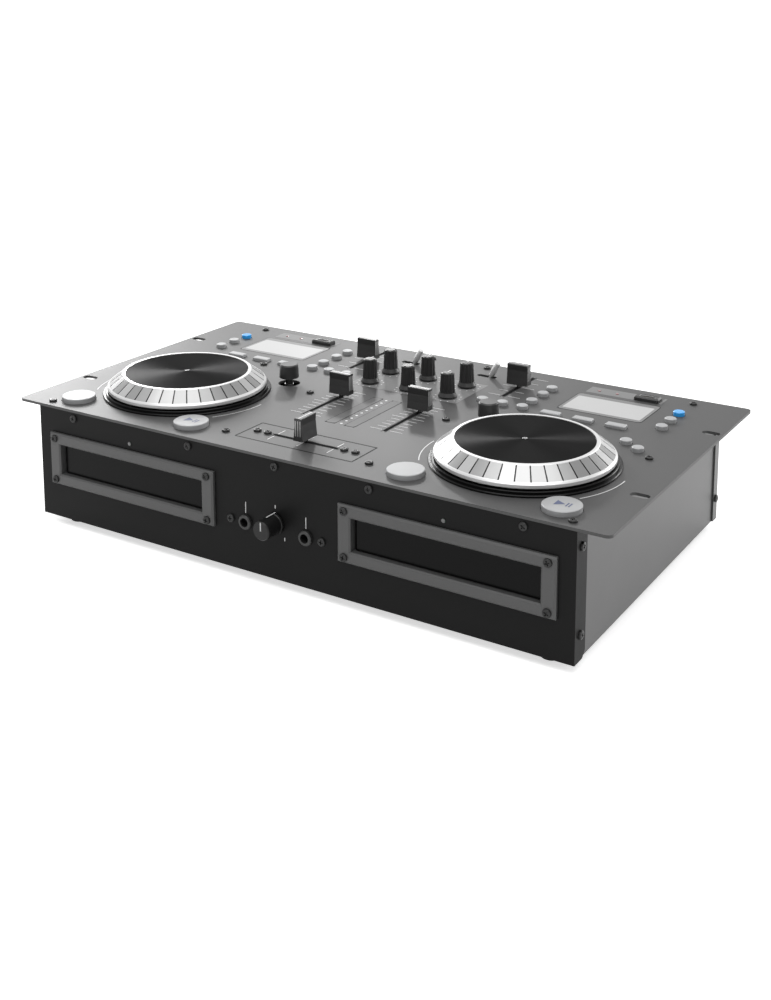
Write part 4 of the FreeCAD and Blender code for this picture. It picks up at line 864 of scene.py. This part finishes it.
def makeLeverCaps():
    # a round chrome cap over each lever's blade, from just above the panel to its tip; its pale colour is
    # partly painted reflection
    lean = math.radians(leverCap["lean"])
    along = (leverCap["start"] + leverCap["end"]) / 2 * mm
    for deck in decks:
        node = "source_lever_" + deck
        pivot = Vector(joints[node + "_throw"]["pos_m"])
        middle = pivot + Vector((math.sin(lean), 0, math.cos(lean))) * along
        cap = disc(middle, leverCap["radius"], leverCap["end"] - leverCap["start"], leverCap["sides"],
                   turn=(0, lean, 0), edge=leverCap["edge"])
        finishPiece([cap], node + "_cap", node, "leverChromeSheen")


knobPointer = {"back": 2.6, "size": (0.9, 4.6, 0.12)}


def makeKnobPointers():
    for node in mixerKnobs:
        low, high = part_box(node)
        centre = (low + high) / 2
        place = (centre.x, centre.y + knobPointer["back"] * mm, high.z + markOut * mm)
        line = slab(place, knobPointer["size"])
        finishPiece([line], node + "_pointer", node, "printWhite")


playSymbol = {"out": 0.03, "thick": 0.1, "triangle": 4.2, "triangleAt": -2.2, "bar": (0.9, 5.6),
              "barsAt": (3.4, 5.4)}


def makePlaySymbols():
    # a triangle that points right, and two bars
    thick = playSymbol["thick"]
    for deck in decks:
        node = "play_button_" + deck
        low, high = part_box(node)
        centre = (low + high) / 2
        lift = high.z + playSymbol["out"] * mm
        place = (centre.x + playSymbol["triangleAt"] * mm, centre.y, lift)
        parts = [disc(place, playSymbol["triangle"], thick, sides=3, turn=(0, 0, -math.pi / 2))]
        for x in playSymbol["barsAt"]:
            parts.append(slab((centre.x + x * mm, centre.y, lift), (*playSymbol["bar"], thick)))
        finishPiece(parts, node + "_symbol", node, "printBlue")


cueMixPointer = {"line": 0.9, "thick": 0.12, "back": 1.0, "share": 0.55, "up": 3.1, "height": 6.0}
# width and height of the ticks, and their places
faceTicks = {"out": 0.03, "thick": 0.05, "knob": ((0.7, 2.4), ((0.0, 35.0), (-7.6, 56.6), (7.6, 56.6))),
             "jacks": ((0.6, 8.0), ((-25.2, 41.0), (25.2, 41.0)))}


def makeCueMixMarks():
    # one line over the knob's top and down its front, and ticks on the face beside knob and jacks
    low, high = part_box("cue_mix_knob")
    centre = (low + high) / 2
    look = cueMixPointer
    top = slab((centre.x, centre.y + look["back"] * mm, high.z + markOut * mm),
               (look["line"], (high.y - low.y) / mm * look["share"], look["thick"]))
    front = slab((centre.x, low.y - markOut * mm, centre.z + look["up"] * mm),
                 (look["line"], look["thick"], look["height"]))
    finishPiece([top, front], "cueMixPointer", "cue_mix_knob", "printWhite")
    ticks = []
    for kind in ("knob", "jacks"):
        (width, height), places = faceTicks[kind]
        for x, drop in places:
            ticks.append(slab(onFace(x, drop, faceTicks["out"]), (width, faceTicks["thick"], height)))
    finishPiece(ticks, "faceTicks", "case", "printWhite")


# rear sockets
rcaRings = {"across": (-150.0, -136.0, -108.0, -94.0), "out": 6.6, "radius": 3.5, "thick": 0.9, "sides": 24,
            "rows": (("White", 38.0, "usbWhite"), ("Red", 56.0, "lampRed"))}
inletPins = {"across": 176.0, "drop": 46.0, "out": -1.2, "size": (2.1, 6.0, 4.1), "edge": 0.3,
             "pins": ((-7.0, -2.0), (0.0, 2.0), (7.0, -2.0))}


def makeRcaRings():
    for name, drop, finish in rcaRings["rows"]:
        rings = [disc(onRear(x, drop, rcaRings["out"]), rcaRings["radius"], rcaRings["thick"],
                      rcaRings["sides"], turn=(math.pi / 2, 0, 0)) for x in rcaRings["across"]]
        finishPiece(rings, "rcaRings" + name, "case", finish)


def makeInletPins():
    pins = [slab(onRear(inletPins["across"] + x, inletPins["drop"] - up, inletPins["out"]), inletPins["size"],
                 edge=inletPins["edge"]) for x, up in inletPins["pins"]]
    finishPiece(pins, "inletPins", "case", "platedSteel")


makeLamps()
makeMeters()
makeUsbTongues()
makeFaderLines()
makeLeverCaps()
makeKnobPointers()
makePlaySymbols()
makeCueMixMarks()
makeRcaRings()
makeInletPins()
print("lamps, meters and marks placed")

# studio
studio = {"floor": 0.9, "floorSize": 60.0, "floorRoughness": 0.8, "floorGloss": 0.1, "lift": 0.6,
          "near": 0.45, "far": 1.3, "world": 0.36}
lamps = {
    # name: place, aim, size, energy
    "topSoftbox": ((0.3, -0.5, 2.2), (0.0, 0.0, 0.0), (2.4, 2.0), 34.0),
    "backStrip": ((-2.0, 1.25, 0.95), (0.0, 0.0, 0.05), (0.9, 0.7), 32.0),
    "farStrip": ((-1.13, 1.79, 0.92), (0.0, 0.0, 0.09), (0.15, 0.15), 5.5),
    "sideStrip": ((1.5, 2.6, 0.7), (0.2, 0.1, 0.05), (1.5, 1.1), 34.0),
}


def looksThere(tree):
    # one for the rays that show the background: seen straight, mirrored or through glass
    path = addNode(tree, "ShaderNodeLightPath").outputs
    mirrored = compute(tree, "MAXIMUM", path["Is Camera Ray"], path["Is Glossy Ray"])
    return compute(tree, "MAXIMUM", mirrored, path["Is Transmission Ray"])


def makeFloor():
    bpy.ops.object.select_all(action="DESELECT")
    bpy.ops.mesh.primitive_plane_add(size=studio["floorSize"], location=(0, 0, 0))
    floor = bpy.context.object
    floor.name = "floor"
    material, tree, shader = newMaterial("floorPaper", Base_Color=grey(studio["floor"]),
                                         Roughness=studio["floorRoughness"], Emission_Color=grey(1.0),
                                         Specular_IOR_Level=studio["floorGloss"])
    # the paper is lifted where it is seen: near the object less than to white, so its shadow stays
    radius = lengthOf(tree, offsetFrom(tree, Vector((0, 0, 0))))
    ramp = mapRange(tree, radius, studio["near"], studio["far"], studio["lift"], 1.0)
    lift = compute(tree, "MULTIPLY", looksThere(tree), ramp)
    tree.links.new(lift, shader.inputs["Emission Strength"])
    floor.data.materials.append(material)


def makeWorld():
    # soft light at a low strength, but plain white where the background shows
    world = bpy.data.worlds.new("studioWorld")
    bpy.context.scene.world = world
    world.use_nodes = True
    tree = world.node_tree
    back = tree.nodes["Background"]
    back.inputs["Color"].default_value = grey(1.0)
    back.inputs["Strength"].default_value = studio["world"]
    seen = addNode(tree, "ShaderNodeBackground")
    seen.inputs["Color"].default_value = grey(1.0)
    seen.inputs["Strength"].default_value = 1.0
    mix = addNode(tree, "ShaderNodeMixShader")
    tree.links.new(looksThere(tree), mix.inputs[0])
    tree.links.new(back.outputs[0], mix.inputs[1])
    tree.links.new(seen.outputs[0], mix.inputs[2])
    tree.links.new(mix.outputs[0], tree.nodes["World Output"].inputs["Surface"])


def areaLight(name, place, aim, size, energy):
    bpy.ops.object.light_add(type="AREA", location=place)
    light = bpy.context.object
    light.name = name
    light.data.shape = "RECTANGLE"
    light.data.size, light.data.size_y = size
    light.data.energy = energy
    light.rotation_euler = (Vector(aim) - Vector(place)).to_track_quat("-Z", "Y").to_euler()


makeFloor()
makeWorld()
for name, lamp in lamps.items():
    areaLight(name, *lamp)
print("studio lit")
